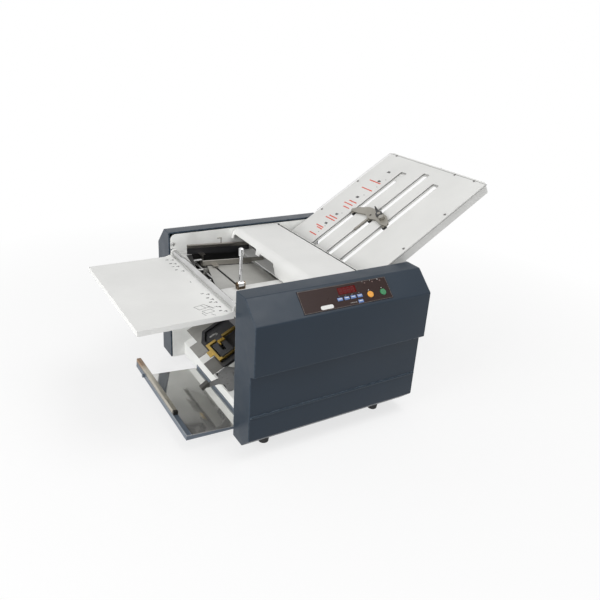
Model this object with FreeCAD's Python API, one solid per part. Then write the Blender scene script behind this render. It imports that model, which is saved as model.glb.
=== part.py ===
import FreeCAD, Part
import os
from math import sin, cos, tan, radians, atan2, pi, sqrt
from FreeCAD import Vector, Rotation, Placement

# Desktop paper folding machine with two fold plates, in millimetres.
# X runs with the paper from the feed tray to the first fold plate, Y from the operator's
# side to the rear, Z up. x = 0 is the feed end of the covers, y = 0 the inner face of the
# front cover, z = 0 the desk. The whole machine is moved at the end, so that its origin is
# the centre of its bounding box on the desk.

# ---------------------------------------------------------------- general sizes
sheet = 1.5                # folded sheet steel
thin_sheet = 1.2
gap = 0.3                  # between faces of parts that move past each other
running = 0.05             # radial clearance of a shaft in its bush
seat_fit = 0.02            # radial clearance of a bush in its plate
foot_height = 22.0         # the covers' lower edge stands this far above the desk
foot_radius = 13.0
foot_inset_x = 60.0
foot_top_radius = 10.0

# ---------------------------------------------------------------- side frames and covers
cover_length = 388.0
cover_spacing = 340.0      # between the two covers' inner faces
cover_height = 305.0
cover_wall = 3.0
cover_edge_radius = 5.0
cover_end_radius = 2.0
frame_thickness = 3.0
frame_inset = 4.0          # frame ends lie this far inside the covers' ends
frame_drop = 5.0           # frame tops lie this far below the covers' tops
frame_corner_radius = 12.0

front_depth = 78.0
front_top_strip = 36.0
front_shoulder_drop = 38.0 # fold below the sloping control panel, from the cover's top
rear_depth = 69.0
rear_top_strip = 30.0
rear_shoulder_drop = 40.0
step_height = 170.0        # height of the ledge below which the covers are set in
front_step = 14.0
rear_step = 16.0
step_rise = 7.0
chamfer_height = 26.0
chamfer_depth = 28.0
bead_height = 78.0         # small bead along the lower half of each cover
bead_size = 2.4

# ---------------------------------------------------------------- control panel
panel_left = 98.0
panel_width = 197.0
panel_low = 6.0            # distance of the label's lower edge from the fold
panel_rise = 45.0
panel_thickness = 1.2
window_margin = 1.5
display_setback = 114.0    # places on the label count from its fold-plate end
display_width = 40.0
display_t = 31.0
display_rise = 14.0
key_size_x = 11.0
key_size_t = 6.5
key_spots = [(115.5, 22.3), (100.5, 22.3), (86.0, 22.3), (71.2, 22.3), (73.3, 11.5)]
round_key_radius = 6.5
start_spot = (17.6, 21.0)
stop_spot = (47.2, 21.0)
lamp_spots = [(50.5, 45.0), (32.7, 45.0), (15.2, 45.0)]
lamp_radius = 1.6
key_proud = 2.0
key_skirt = 4.0
key_travel = 1.2
board_depth = 10.0         # lamps and display reach this far below the panel face

# ---------------------------------------------------------------- feed end
table_set_down = 48.0      # fixed table's top, below the covers' tops
table_left = 9.0
deck_setback = 202.0       # fixed table's inner end, from the fold-plate end of the covers
strip_setback = 192.0      # inner end of the lower strip before the feed roller
table_lip = 14.0
window_front = 118.0
window_rear = 322.0
window_left = 14.5
window_setback = 225.0     # inner end of the window
strip_drop = 6.5           # the lower strip lies this far below the fixed table
window_corner = (46.0, 211.0)   # the window's feed side runs slanting from here
rib_drop = 7.0
ribs = [(300.0, 60.0), (245.0, 48.0), (185.0, 33.0)]   # place along Y and reach
shield_drop = 35.0
shield_setback = 238.0
rib_width = 6.0
rod_radius = 6.3
rod_x = 8.5
tray_length = 176.0
tray_front = 10.0
tray_rear = 325.0
tray_flange = 10.5
tray_ear_radius = 9.5
tray_ear_run = 16.0        # the ears' webs start this far from the tray's inner end
tray_lift = 105.0

table_slope = 4.5          # lift plate falls towards the feed roller
plate_front = 121.0
plate_rear = 250.0
plate_left = 17.5
plate_left_rear = 52.0
plate_margin = 2.0         # between the lift plate and the window's inner end
pivot_x = 44.0
pivot_drop = 10.0
pivot_radius = 3.0
pivot_ear = 6.0
pivot_ear_insets = (4.0, 16.0)     # of the two ears from the plate's front and rear edges
guide_slot_x = 66.0
guide_slot_width = 6.0
guide_slot_front = 138.0
guide_slot_rear = 240.0
table_drop = 4.5           # degrees that the lift plate goes down

guide_setback = 204.0      # inner ends of the guides
guide_slope = 3.7          # the guides' top edges fall towards the feed roller
guide_lift = 2.5           # fences stand this far above the lift plate
guide_step = 7.0           # from here before the plate's end they stand above the strip
front_guide_y = 244.0
front_guide_left = 40.0
front_guide_rise = 10.5    # flange at the feed end, above the fixed table
front_guide_flange = 4.5
front_guide_travel = 92.0
rear_guide_y = 318.5
rear_guide_left = 34.0
rear_guide_rise = 23.3
rear_guide_flange = 7.0
rear_guide_travel = 48.0
guide_rod_radius = 4.0
guide_rod_drop = 25.0      # below the fixed table
guide_block = 14.0         # length of the sliding block on the rod
hook_x = 113.0
hook_radius = 1.1
hook_rise = 13.0
hook_reach = 9.0

lever_x = 61.0
lever_y = 108.0
lever_height = 83.0        # above the fixed table
lever_pivot_height = 8.5
lever_radius = 3.2
lever_hub_radius = 6.0
lever_hub_width = 12.0
lever_pin_radius = 2.5
lever_cap_radius = 4.8
lever_cap_length = 15.0
lever_neck_radius = 2.3
lever_neck_length = 3.5
lever_swing = 45.0
cheek_thickness = 2.0
cheek_width = 12.0

# ---------------------------------------------------------------- top cover
top_cover_setback = 124.0  # its inner end, from the fold-plate end of the covers
top_cover_length = 117.0
top_cover_clearance = 1.5  # lowest edge above the fixed table
top_cover_side_rise = 20.5
arch_edge_rise = 22.0      # front edge between and beside its two arches, above the table
arch_spots = [(134.0, 199.0, 29.0), (214.0, 325.0, 33.0)]     # along Y, and rise
arch_front = 131.0
top_cover_radius = 21.0
top_cover_wall = 2.5
top_cover_opens = 75.0
hinge_inset = 4.0
hinge_drop = 6.0           # below the roller cover's top
hinge_pin_radius = 2.5
hinge_boss_radius = 5.0
hinge_pin_length = 9.0

# ---------------------------------------------------------------- first fold plate
plate1_angle = 31.7
plate1_setback = 64.0      # a point of its upper face, from the end of the covers
plate1_drop = 14.85        # and its drop from the covers' tops
plate1_low = -45.0         # along the slope from that point
plate1_high = 309.0
plate1_front = 8.0
plate1_rear = 332.0
plate1_depth = 22.0        # side and end flanges
plate1_corner = 8.0
plate1_bare = 25.0         # lower end without side flanges
paper_gap = 3.0
slot_width = 20.0
lower_slot_width = 15.0
slot_corner = 2.5
slot_low = -27.0
slots = [(230.5, 261.0, 232.0), (168.5, 279.0, 275.0), (115.5, 258.5, 256.0)]   # y and ends
plate1_pull = 30.0         # travel when pulled out to clear a jam
rail_low = -20.0
rail_high = 62.0
rail_width = 10.0
rail_leg = 14.0

# ---------------------------------------------------------------- first paper stop
stop_lift = 1.0
stop_thick = 4.0
stop_outline = [(98.0, 237.0, 3.0), (105.0, 240.0, 3.0), (114.0, 229.0, 10.0),
                (128.0, 201.0, 16.0), (129.0, 175.0, 10.0), (116.0, 168.0, 3.0),
                (128.0, 153.0, 10.0), (123.0, 130.0, 14.0), (110.0, 110.0, 5.0),
                (100.0, 107.0, 3.0), (98.0, 125.0, 8.0), (104.0, 150.0, 8.0),
                (99.0, 162.0, 6.0), (99.0, 172.0, 6.0), (106.0, 190.0, 12.0),
                (99.0, 222.0, 10.0)]          # along the slope, y and corner radius
stop_hole = (108.5, 174.0)
stop_hole_radius = 3.0
stop_foot_low = 95.0
stop_foot_length = 9.0
stop_foot_width = 7.0
pointer_low = 58.0
pointer_width = 6.0
pointer_thick = 2.5
stop_down = 55.0
stop_up = 125.0
lock_u = 120.0
lock_y = 155.0
lock_reach = 28.0
lock_angle = 67.0          # of the clamping lever from the slope at rest
lock_swing = 60.0
lock_boss = 4.0
lock_thick = 3.0
lock_tip = 3.0             # height of the finger rib at the lever's end
knob_u = 113.5
knob_y = 137.0
knob_radius = 6.5
knob_height = 6.0
knob_post_radius = 3.0
knob_flutes = 10

# ---------------------------------------------------------------- rollers and gears
roller_radius = 20.0
nip = 0.3                  # between two rollers, where the paper passes
roller_margin = 12.0       # from the cover line to the roller's face
journal_radius = 8.0
bush_radius = 11.0
bush_flange_radius = 13.0
bush_flange = 1.5
nip1_u = -73.0             # first nip, on the first plate's slope
plate2_angle = 27.5
nip3_angle = 60.0          # direction from roller 4 to roller 3
gear_teeth = 24
feed_idler_teeth = 16
drive_idler_teeth = 36
motor_teeth = 12
gear_front = 5.0           # gears stand this far behind the rear frame
gear_width = 8.0
stud_radius = 5.0
addendum = 0.78            # in modules
dedendum = 1.05
tooth_share = 0.43         # tooth thickness over the circular pitch
feed_setback = 182.0       # feed roller, from the fold-plate end of the covers
feed_rise = 12.5           # above the fixed table
feed_radius = 18.0
feed_shaft_radius = 6.0
tyre_width = 26.0
tyre_spots = [130.0, 184.0]
hub_radius = 13.0
drive_idler_angle = -53.0
motor_angle = -41.0
motor_radius = 32.0
motor_length = 92.0
motor_shaft_radius = 4.0
motor_shaft_reach = 35.0   # of the pinion's shaft inside the motor
separator_beam = (10.0, 14.0)      # before and behind the feed roller's axis
separator_seat = (9.0, 12.0)
separator_post = 12.0
separator_fall = 3.0       # the pad's feed side lies this much lower
pad_thickness = 3.4
pad_gap = 0.6              # between pad and tyres

# ---------------------------------------------------------------- second fold plate
plate2_left = 7.5          # the tongues' ends, from the feed end of the covers
plate2_back = 32.0         # from the second nip to the plate's inner end
tongue = 20.0
tongue_front = (113.0, 160.0)
tongue_rear = (187.0, 239.0)
plate2_rear = 300.0
plate2_front = 40.0
plate2_front_start = 60.0
plate2_window = [(30.0, 125.0), (30.0, 160.0), (34.0, 187.0), (34.0, 227.0), (48.0, 253.0),
                 (150.0, 253.0), (150.0, 125.0)]
bar_low = 28.0
bar_high = 190.0
bar_width = 8.0
bar_height = 5.0
bar_spots = [131.0, 195.0]
bar_end = 6.0              # width of the two cross bars
bar_tab_low = 19.0         # flat tab of the lower cross bar, between the tongues
bar_tab = (163.0, 184.0)
bar_tab_thick = 1.5
stop2_low = 37.0
stop2_length = 30.0
stop2_front = 134.0
stop2_rear = 184.0
stop2_ear = 14.0           # the ear over the rear bar starts this far up
stop2_travel = 94.0
stop2_thick = 3.0
stop2_slot = (147.0, 174.0)
stop2_slot_width = 8.0
stop2_slot_low = 11.0
stop2_tab = 12.0
stop2_tab_spots = [143.0, 165.0]
stop2_strap = 9.0
stop2_strap_height = 3.0
stop2_rod_radius = 1.2

# ---------------------------------------------------------------- exit and delivery
chute_x = 32.0
chute_height = 33.0
chute_foot = 2.0
turn_gap = 3.0
turn_end = 30.0
arm_pivot_x = 50.0
arm_pivot_height = 74.0
arm_pivot_radius = 4.0
arm_y = 92.0
arm_thickness = 2.0
arm_lift = 25.0
exit_roller_x = 37.0
exit_roller_height = 43.2
exit_roller_radius = 7.0
exit_roller_length = 34.0
exit_shaft_radius = 2.5
groove_start = 14.0        # round groove of the exit roller
groove_width = 4.0
groove_depth = 1.5
arm_outline = [(9.0, 61.0, 3.0), (9.0, 76.0, 2.0), (11.0, 89.0, 4.0), (26.0, 98.5, 6.0),
               (58.0, 84.0, 5.0), (58.0, 66.0, 5.0), (46.0, 57.0, 5.0), (43.5, 37.0, 5.5),
               (31.5, 37.0, 5.5), (24.0, 56.0, 6.0)]   # x, height and corner radius
arm_fold = (10.0, 77.0, 50.0, 80.5)    # the folded flange, from x and height to x and height
arm_flange = 17.0
arm_hub = 3.0
strap_low = (12.0, 61.0)
strap_high = (12.0, 74.0)
grip_length = 19.0
grip_width = 11.0
grip_thickness = 11.0
grip_radius = 3.0
grip_x = -18.5
grip_height = 64.0
grip_angle = 34.0
deck_left = -88.0
deck_height = 16.5
deck_angle = 5.0
deck_front = 18.0
deck_rear = 258.0
deck_right = 31.5
deck_rim = 10.5
deck_lip = 7.0
liner = 0.8
stop_bar_width = 10.0
stop_bar_height = 8.0
stop_bar_front = 88.0
stop_rear_end = 320.0
delivery_travel = 60.0
thumb_radius = 4.0
thumb_y = 266.0

# ---------------------------------------------------------------- lower body
base_left = 40.0
tie_spot_low = 92.0        # first tie bar, along the second plate from the tongues' ends
tie_spot_back = 29.0       # second tie bar, from the second plate's inner end
tie_setback = 40.0
tie_motor_gap = 12.0       # between the third tie bar and the motor above it
tie_high = 200.0
base_lip = 14.0
tie_radius = 6.0
inlet_width = 28.0
inlet_height = 22.0
inlet_depth = 24.0
inlet_y = 60.0
service_height = 40.0
switch_width = 13.0
switch_height = 20.0
switch_y = 100.0
switch_tilt = 12.0
rocker_radius = 8.0
end_panel_height = 205.0
end_panel_fold = 12.0


# ================================================================ helpers
def up(height):
    """Height above the desk of a point given above the covers' lower edge."""
    return foot_height + height


def box(x0, x1, y0, y1, z0, z1):
    return Part.makeBox(x1 - x0, y1 - y0, z1 - z0, Vector(x0, y0, z0))


def rounded_wire(points, radii):
    """Closed wire through points, each corner rounded by its own radius."""
    edges = []
    starts = []
    ends = []
    count = len(points)
    for i in range(count):
        corner = points[i]
        before = points[i - 1]
        after = points[(i + 1) % count]
        radius = radii[i]
        if radius <= 0:
            starts.append(corner)
            ends.append(corner)
            edges.append(None)
            continue
        inward = (before - corner).normalize()
        outward = (after - corner).normalize()
        half = inward.getAngle(outward) / 2
        reach = radius / tan(half)
        middle_reach = radius / sin(half) - radius
        start = corner + inward * reach
        end = corner + outward * reach
        middle = corner + (inward + outward).normalize() * middle_reach
        starts.append(start)
        ends.append(end)
        edges.append(Part.Arc(start, middle, end).toShape())
    path = []
    for i in range(count):
        if edges[i] is not None:
            path.append(edges[i])
        following = (i + 1) % count
        if ends[i].distanceToPoint(starts[following]) > 1e-6:
            path.append(Part.LineSegment(ends[i], starts[following]).toShape())
    return Part.Wire(path)


def slab(points, radii, direction):
    """Solid swept along direction from the rounded polygon."""
    if not isinstance(radii, list):
        radii = [radii] * len(points)
    return Part.Face(rounded_wire(points, radii)).extrude(direction)


def slab_xz(points, y0, y1, radii=0.0):
    return slab([Vector(x, y0, z) for x, z in points], radii, Vector(0, y1 - y0, 0))


def slab_yz(points, x0, x1, radii=0.0):
    return slab([Vector(x0, y, z) for y, z in points], radii, Vector(x1 - x0, 0, 0))


def slab_xy(points, z0, z1, radii=0.0):
    return slab([Vector(x, y, z0) for x, y in points], radii, Vector(0, 0, z1 - z0))


def bar_y(x, z, radius, y0, y1):
    return Part.makeCylinder(radius, y1 - y0, Vector(x, y0, z), Vector(0, 1, 0))


def bar_x(y, z, radius, x0, x1):
    return Part.makeCylinder(radius, x1 - x0, Vector(x0, y, z), Vector(1, 0, 0))


def bar_z(x, y, radius, z0, z1):
    return Part.makeCylinder(radius, z1 - z0, Vector(x, y, z0), Vector(0, 0, 1))


def ring_y(x, z, inner, outer, y0, y1):
    return bar_y(x, z, outer, y0, y1).cut(bar_y(x, z, inner, y0, y1))


def slope_place(x, z, angle):
    """Placement whose local X climbs at angle in the XZ plane and local Z is its normal."""
    return Placement(Vector(x, 0, z), Rotation(Vector(0, 1, 0), -angle))


def placed(shape, placement):
    moved = shape.copy()
    moved.Placement = placement.multiply(moved.Placement)
    return moved


def joined(shapes):
    """One solid from overlapping or touching solids."""
    result = shapes[0]
    if len(shapes) > 1:
        result = shapes[0].fuse(shapes[1:])
    return result.removeSplitter()


# ================================================================ derived places
rear_face = cover_spacing                      # inner face of the rear cover
front_frame_y = 0.0
rear_frame_y = cover_spacing - frame_thickness
inner_front = frame_thickness                  # inner faces of the two frames
inner_rear = rear_frame_y

panel_right = panel_left + panel_width
display_x = panel_right - display_setback
front_shoulder = cover_height - front_shoulder_drop
rear_shoulder = cover_height - rear_shoulder_drop
table_height = cover_height - table_set_down
table_right = cover_length - deck_setback
strip_right = cover_length - strip_setback
window_right = cover_length - window_setback
plate_right = window_right - plate_margin
guide_right = cover_length - guide_setback
guide_rod_height = table_height - guide_rod_drop
top_cover_right = cover_length - top_cover_setback
top_cover_left = top_cover_right - top_cover_length
top_cover_height = cover_height - frame_drop
hinge_x = top_cover_right - hinge_inset
hinge_height = top_cover_height - hinge_drop
feed_x = cover_length - feed_setback
feed_height = table_height + feed_rise

roller_pitch = 2 * roller_radius + nip
module = roller_pitch / gear_teeth

plate1_place = slope_place(cover_length - plate1_setback, up(cover_height - plate1_drop),
                           plate1_angle)
feed_drop = (pivot_x - plate_left) * tan(radians(table_slope))
feed_place = slope_place(pivot_x, up(table_height) - feed_drop, -table_slope)


def direction(angle):
    """Unit vector in the XZ plane at angle above +X."""
    return Vector(cos(radians(angle)), 0, sin(radians(angle)))


def roller_centres():
    """Axes of the four fold rollers, from the two plates' angles and the nips."""
    half = roller_pitch / 2
    path = -(sheet + paper_gap / 2)
    nip1 = plate1_place.multVec(Vector(nip1_u, 0, path))
    first = nip1 + direction(plate1_angle + 90) * half
    second = nip1 + direction(plate1_angle - 90) * half
    third = second + direction(plate2_angle - 90) * roller_pitch
    fourth = third + direction(nip3_angle + 180) * roller_pitch
    return [first, second, third, fourth]


rollers = roller_centres()
nip2 = (rollers[1] + rollers[2]) * 0.5
plate2_reach = (nip2.x - plate2_left) / cos(radians(plate2_angle))
plate2_end = nip2 - direction(plate2_angle) * plate2_reach
plate2_end = plate2_end + direction(plate2_angle + 90) * (sheet + paper_gap / 2)
plate2_place = slope_place(plate2_end.x, plate2_end.z, plate2_angle)
plate2_length = plate2_reach - plate2_back
feed_axis = Vector(feed_x, 0, up(feed_height))


def feed_idler_axis():
    """Idler centre that meshes with the first roller's gear and the feed gear."""
    reach = module * (gear_teeth + feed_idler_teeth) / 2
    middle = (rollers[0] + feed_axis) * 0.5
    apart = rollers[0] - feed_axis
    half = apart.Length / 2
    drop = sqrt(reach * reach - half * half)
    side = Vector(apart.z, 0, -apart.x).normalize()
    return middle + side * drop


idler_axis = feed_idler_axis()
drive_axis = rollers[3] + direction(drive_idler_angle) * (
    module * (gear_teeth + drive_idler_teeth) / 2)
motor_axis = drive_axis + direction(motor_angle) * (
    module * (drive_idler_teeth + motor_teeth) / 2)
gear_y = rear_face + gear_front


# ================================================================ covers and frames
def cover_profile(depth, strip, shoulder, step, chamfered, inner):
    """Corner points (y outwards, z) of a cover's section and their radii."""
    r = cover_edge_radius
    lower = depth - step
    foot = lower - chamfer_depth if chamfered else lower
    points = [(inner, cover_height), (strip, cover_height), (depth, shoulder)]
    radii = [0, r, r]
    points += [(depth, step_height), (lower, step_height - step_rise)]
    radii += [1.5, 1.0]
    if chamfered:
        points += [(lower, chamfer_height)]
        radii += [r]
    points += [(foot, 0.0), (inner, 0.0)]
    radii += [2.0, 0]
    return points, radii


def cover(side, depth, strip, shoulder, step, chamfered):
    """Hollow moulded cover; side is -1 at the front and +1 at the rear."""
    base = 0.0 if side < 0 else rear_face
    points, radii = cover_profile(depth, strip, shoulder, step, chamfered, 0.0)
    outer_points = [(base + side * y, up(z)) for y, z in points]
    body = slab_yz(outer_points, 0.0, cover_length, radii)
    ends = [e for e in body.Edges if is_end_edge(e, base)]
    body = body.makeFillet(cover_end_radius, ends)
    points, radii = cover_profile(depth, strip, shoulder, step, chamfered, -cover_wall - 1)
    cavity_points = [Vector(cover_wall, base + side * y, up(z)) for y, z in points]
    wire = rounded_wire(cavity_points, radii)
    inset = wire.makeOffset2D(-cover_wall, join=2)
    cavity = Part.Face(inset).extrude(Vector(cover_length - 2 * cover_wall, 0, 0))
    bead = bar_x(base + side * (depth - step), up(bead_height), bead_size,
                 cover_end_radius + 1, cover_length - cover_end_radius - 1)
    return joined([body, bead]).cut(cavity)


def is_end_edge(edge, base):
    """True for the outer rim of a cover's two end faces, apart from its open side."""
    bounds = edge.BoundBox
    flat = bounds.XMax - bounds.XMin < 1e-6
    at_end = min(abs(bounds.XMin), abs(bounds.XMin - cover_length)) < 1e-6
    on_open_side = abs(bounds.YMin - base) < 1e-6 and abs(bounds.YMax - base) < 1e-6
    return flat and at_end and not on_open_side


panel_angle = atan2(cover_height - front_shoulder, front_depth - front_top_strip)
panel_place = Placement(Vector(0, -front_depth, up(front_shoulder)),
                        Rotation(Vector(1, 0, 0), panel_angle * 180 / pi))


def front_cover():
    body = cover(-1, front_depth, front_top_strip, front_shoulder, front_step, True)
    window = box(panel_left + window_margin, panel_right - window_margin,
                 panel_low + window_margin, panel_low + panel_rise - window_margin,
                 -cover_wall - 2, 2)
    body = body.cut(placed(window, panel_place))
    return body


def rear_cover():
    return cover(1, rear_depth, rear_top_strip, rear_shoulder, rear_step, False)


def frame_outline(y):
    left = frame_inset
    right = cover_length - frame_inset
    top = up(cover_height - frame_drop)
    corner = frame_corner_radius
    points = [(left, up(0)), (right, up(0)), (right, top), (left, top)]
    return slab_xz(points, y, y + frame_thickness, [0.0, 0.0, corner, corner])


def side_frame(y):
    """Steel side plate with the bush bores."""
    plate = frame_outline(y)
    for axis in rollers + [feed_axis]:
        plate = plate.cut(bar_y(axis.x, axis.z, bush_radius, y - 1, y + frame_thickness + 1))
    return plate


def front_side_frame():
    return side_frame(front_frame_y)


def rear_side_frame():
    plate = side_frame(rear_frame_y)
    hole = bar_y(motor_axis.x, motor_axis.z, motor_shaft_radius + 3,
                 rear_frame_y - 1, rear_face + 1)
    return plate.cut(hole)


def shaft_bushes():
    """Flanged bushes of the five shafts, in both side frames."""
    shapes = []
    for axis in rollers + [feed_axis]:
        bore = journal_radius + running
        if axis is feed_axis:
            bore = feed_shaft_radius + running
        outer = bush_radius - seat_fit
        front = joined([ring_y(axis.x, axis.z, bore, outer, 0.0, inner_front),
                        ring_y(axis.x, axis.z, bore, bush_flange_radius,
                               inner_front, inner_front + bush_flange)])
        rear = joined([ring_y(axis.x, axis.z, bore, outer, inner_rear, rear_face),
                       ring_y(axis.x, axis.z, bore, bush_flange_radius,
                              inner_rear - bush_flange, inner_rear)])
        shapes += [front, rear]
    return Part.makeCompound(shapes)


def base_plate():
    """Bottom sheet with flanges that are screwed to the frames."""
    left = base_left
    right = cover_length - frame_inset
    floor_sheet = box(left, right, inner_front, inner_rear, up(0), up(thin_sheet))
    side_end = right - sheet
    front = box(left, side_end, inner_front, inner_front + thin_sheet, up(0), up(base_lip))
    rear = box(left, side_end, inner_rear - thin_sheet, inner_rear, up(0), up(base_lip))
    return joined([floor_sheet, front, rear])


def end_panel():
    """Upright sheet that closes the machine below the first fold plate."""
    right = cover_length - frame_inset
    panel = box(right - sheet, right, inner_front, inner_rear,
                up(thin_sheet), up(end_panel_height))
    top = box(right - end_panel_fold, right, inner_front, inner_rear,
              up(end_panel_height) - sheet, up(end_panel_height))
    panel = joined([panel, top])
    inlet = box(right - 5, right + 5, inlet_y, inlet_y + inlet_width,
                up(service_height), up(service_height + inlet_height))
    switch = box(right - 5, right + 5, switch_y, switch_y + switch_width,
                 up(service_height), up(service_height + switch_height))
    return panel.cut(inlet).cut(switch)


def power_inlet():
    """Three-pin appliance inlet set in the end panel."""
    face = cover_length - frame_inset
    rim = 3.0
    flange = box(face, face + 1.5, inlet_y - rim, inlet_y + inlet_width + rim,
                 up(service_height) - rim, up(service_height + inlet_height) + rim)
    body = box(face - inlet_depth, face, inlet_y + gap, inlet_y + inlet_width - gap,
               up(service_height) + gap, up(service_height + inlet_height) - gap)
    cavity = box(face - inlet_depth + 5, face + 2, inlet_y + 3, inlet_y + inlet_width - 3,
                 up(service_height) + 4, up(service_height + inlet_height) - 4)
    pins = []
    middle = inlet_y + inlet_width / 2
    height = up(service_height + inlet_height / 2)
    for offset, rise in ((-7.0, -2.0), (0.0, 2.0), (7.0, -2.0)):
        pins.append(box(face - inlet_depth + 3, face - 6, middle + offset - 1,
                        middle + offset + 1, height + rise - 2, height + rise + 2))
    return joined([flange, body]).cut(cavity).fuse(pins).removeSplitter()


def switch_frame():
    """Bezel of the mains switch, with its pivot pin."""
    face = cover_length - frame_inset
    rim = 2.0
    low = up(service_height)
    high = up(service_height + switch_height)
    outer = box(face, face + 2, switch_y - rim, switch_y + switch_width + rim,
                low - rim, high + rim)
    shell = box(face - 12, face, switch_y + gap, switch_y + switch_width - gap,
                low + gap, high - gap)
    cavity = box(face - 12, face + 3, switch_y + 1.5, switch_y + switch_width - 1.5,
                 low + 1.5, high - 1.5)
    pin = Part.makeCylinder(1.2, switch_width - 2, Vector(face - 3, switch_y + 1,
                            (low + high) / 2), Vector(0, 1, 0))
    return joined([outer, shell]).cut(cavity).fuse(pin).removeSplitter()


def switch_pivot():
    face = cover_length - frame_inset
    return Vector(face - 3, 0, up(service_height + switch_height / 2))


def power_switch():
    """Rocker with two facets, turning on the bezel's pin."""
    centre = switch_pivot()
    half = switch_height / 2 - 3
    points = [(centre.x - 3.5, centre.z - half + 3), (centre.x + 5.5, centre.z - half),
              (centre.x + 3.9, centre.z), (centre.x + 5.5, centre.z + half),
              (centre.x - 3.5, centre.z + half - 3)]
    body = slab_xz(points, switch_y + 1.8, switch_y + switch_width - 1.8)
    body = body.cut(bar_y(centre.x, centre.z, 1.2 + running, switch_y, switch_y + switch_width))
    body.rotate(centre, Vector(0, 1, 0), -switch_tilt)
    return body


def rubber_feet():
    """Four feet under the two frames."""
    shapes = []
    for x in (foot_inset_x, cover_length - foot_inset_x):
        for y in (-foot_radius, cover_spacing + foot_radius):
            shapes.append(Part.makeCone(foot_top_radius, foot_radius, foot_height,
                                        Vector(x, y, 0), Vector(0, 0, 1)))
    return Part.makeCompound(shapes)


def tie_spots():
    """Axes of the round tie bars: two under the second fold plate, two low down."""
    drop = -(2 * sheet + paper_gap + tie_radius + gap)
    spots = []
    for along in (tie_spot_low, plate2_length - tie_spot_back):
        spots.append(plate2_place.multVec(Vector(along, 0, drop)))
    below_motor = motor_axis.z - motor_radius - tie_motor_gap - tie_radius
    for z in (below_motor, up(tie_high)):
        spots.append(Vector(cover_length - tie_setback, 0, z))
    return spots


# ================================================================ control panel
def control_panel():
    """Dark label plate on the sloping face, with holes for keys, lamps and display."""
    plate = box(panel_left, panel_right, panel_low, panel_low + panel_rise,
                0.0, panel_thickness)
    cuts = [box(display_x, display_x + display_width, display_t, display_t + display_rise,
                -1, 3)]
    for setback, t in key_spots:
        x = panel_right - setback
        cuts.append(box(x - key_size_x / 2 - gap, x + key_size_x / 2 + gap,
                        t - key_size_t / 2 - gap, t + key_size_t / 2 + gap, -1, 3))
    for setback, t in (start_spot, stop_spot):
        cuts.append(bar_z(panel_right - setback, t, round_key_radius + gap, -1, 3))
    for setback, t in lamp_spots:
        cuts.append(bar_z(panel_right - setback, t, lamp_radius + seat_fit, -1, 3))
    for tool in cuts:
        plate = plate.cut(tool)
    return placed(plate, panel_place)


def display_window():
    """Red filter over the counter, with its module behind."""
    lens = box(display_x + seat_fit, display_x + display_width - seat_fit,
               display_t + seat_fit, display_t + display_rise - seat_fit,
               -2.0, panel_thickness - 0.3)
    module_box = box(display_x + 2, display_x + display_width - 2, display_t + 1.5,
                     display_t + display_rise - 1.5, -board_depth, -2.0)
    return placed(joined([lens, module_box]), panel_place)


def indicator_lamps():
    shapes = []
    for setback, t in lamp_spots:
        lamp = bar_z(panel_right - setback, t, lamp_radius, -board_depth,
                     panel_thickness + lamp_radius)
        tip = [e for e in lamp.Edges if e.BoundBox.ZMin > panel_thickness]
        lamp = lamp.makeChamfer(lamp_radius / 2, tip)
        shapes.append(placed(lamp, panel_place))
    return Part.makeCompound(shapes)


def square_key(setback, t):
    """Small rectangular key with a skirt that keeps it behind the label."""
    x = panel_right - setback
    cap = box(x - key_size_x / 2, x + key_size_x / 2, t - key_size_t / 2,
              t + key_size_t / 2, -gap, key_proud)
    cap = cap.makeFillet(0.8, [e for e in cap.Edges if e.BoundBox.ZMin > key_proud - 0.01])
    stem = bar_z(x, t, 2.0, -key_skirt, -gap)
    return placed(joined([cap, stem]), panel_place)


def round_key(setback, t):
    """Round push button with a bevelled face."""
    x = panel_right - setback
    cap = bar_z(x, t, round_key_radius, -gap, key_proud + 1)
    cap = cap.makeChamfer(1.0, [e for e in cap.Edges if e.BoundBox.ZMin > key_proud])
    stem = bar_z(x, t, 3.0, -key_skirt, -gap)
    return placed(joined([cap, stem]), panel_place)


# ================================================================ feed end
def infeed_rod():
    """White round rod across the feed end, on which the feed tray hangs."""
    return bar_y(rod_x, up(table_height) + rod_radius + gap, rod_radius,
                 inner_front, inner_rear)


def infeed_table():
    """Fixed table sheet with the window of the lift plate and its support ribs."""
    top = up(table_height)
    low = top - strip_drop
    rib_top = top - rib_drop
    deck = box(table_left, table_right, inner_front, inner_rear, top - sheet, top)
    window = slab_xy([(window_left, window_front), (table_right + 1, window_front),
                      (table_right + 1, window_rear), (window_corner[0], window_rear),
                      (window_left, window_corner[1])], top - 5, top + 5)
    deck = deck.cut(window)
    parts = [deck]
    parts.append(box(table_left, table_left + sheet, inner_front, inner_rear,
                     top - table_lip, top))
    parts.append(box(window_right, strip_right, window_front - sheet, window_rear + sheet,
                     low - sheet, low))
    parts.append(box(strip_right - sheet, strip_right, window_front - sheet,
                     window_rear + sheet, top - table_lip, low))
    for y in (window_front - sheet, window_rear):
        parts.append(box(window_right, table_right, y, y + sheet, low - sheet, top))
    for y, reach in ribs:
        parts.append(box(table_left, reach, y - rib_width / 2, y + rib_width / 2,
                         rib_top - sheet, rib_top))
    shape = joined(parts)
    notch = rod_x + tray_ear_radius
    for y0, y1 in ((0.0, tray_front + 4), (tray_rear - 4, cover_spacing)):
        shape = shape.cut(box(0.0, notch, y0, y1, top - tray_flange, top + 1))
    return shape


def feed_bay_shield():
    """Black sheet below the table that closes off the second fold plate."""
    top = up(table_height) - shield_drop
    tray = box(table_left + 3, cover_length - shield_setback, inner_front, inner_rear,
               top - thin_sheet, top)
    wall = box(table_left + 3, table_left + 3 + thin_sheet, inner_front, inner_rear, top,
               up(table_height) - table_lip - gap)
    return joined([tray, wall])


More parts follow.
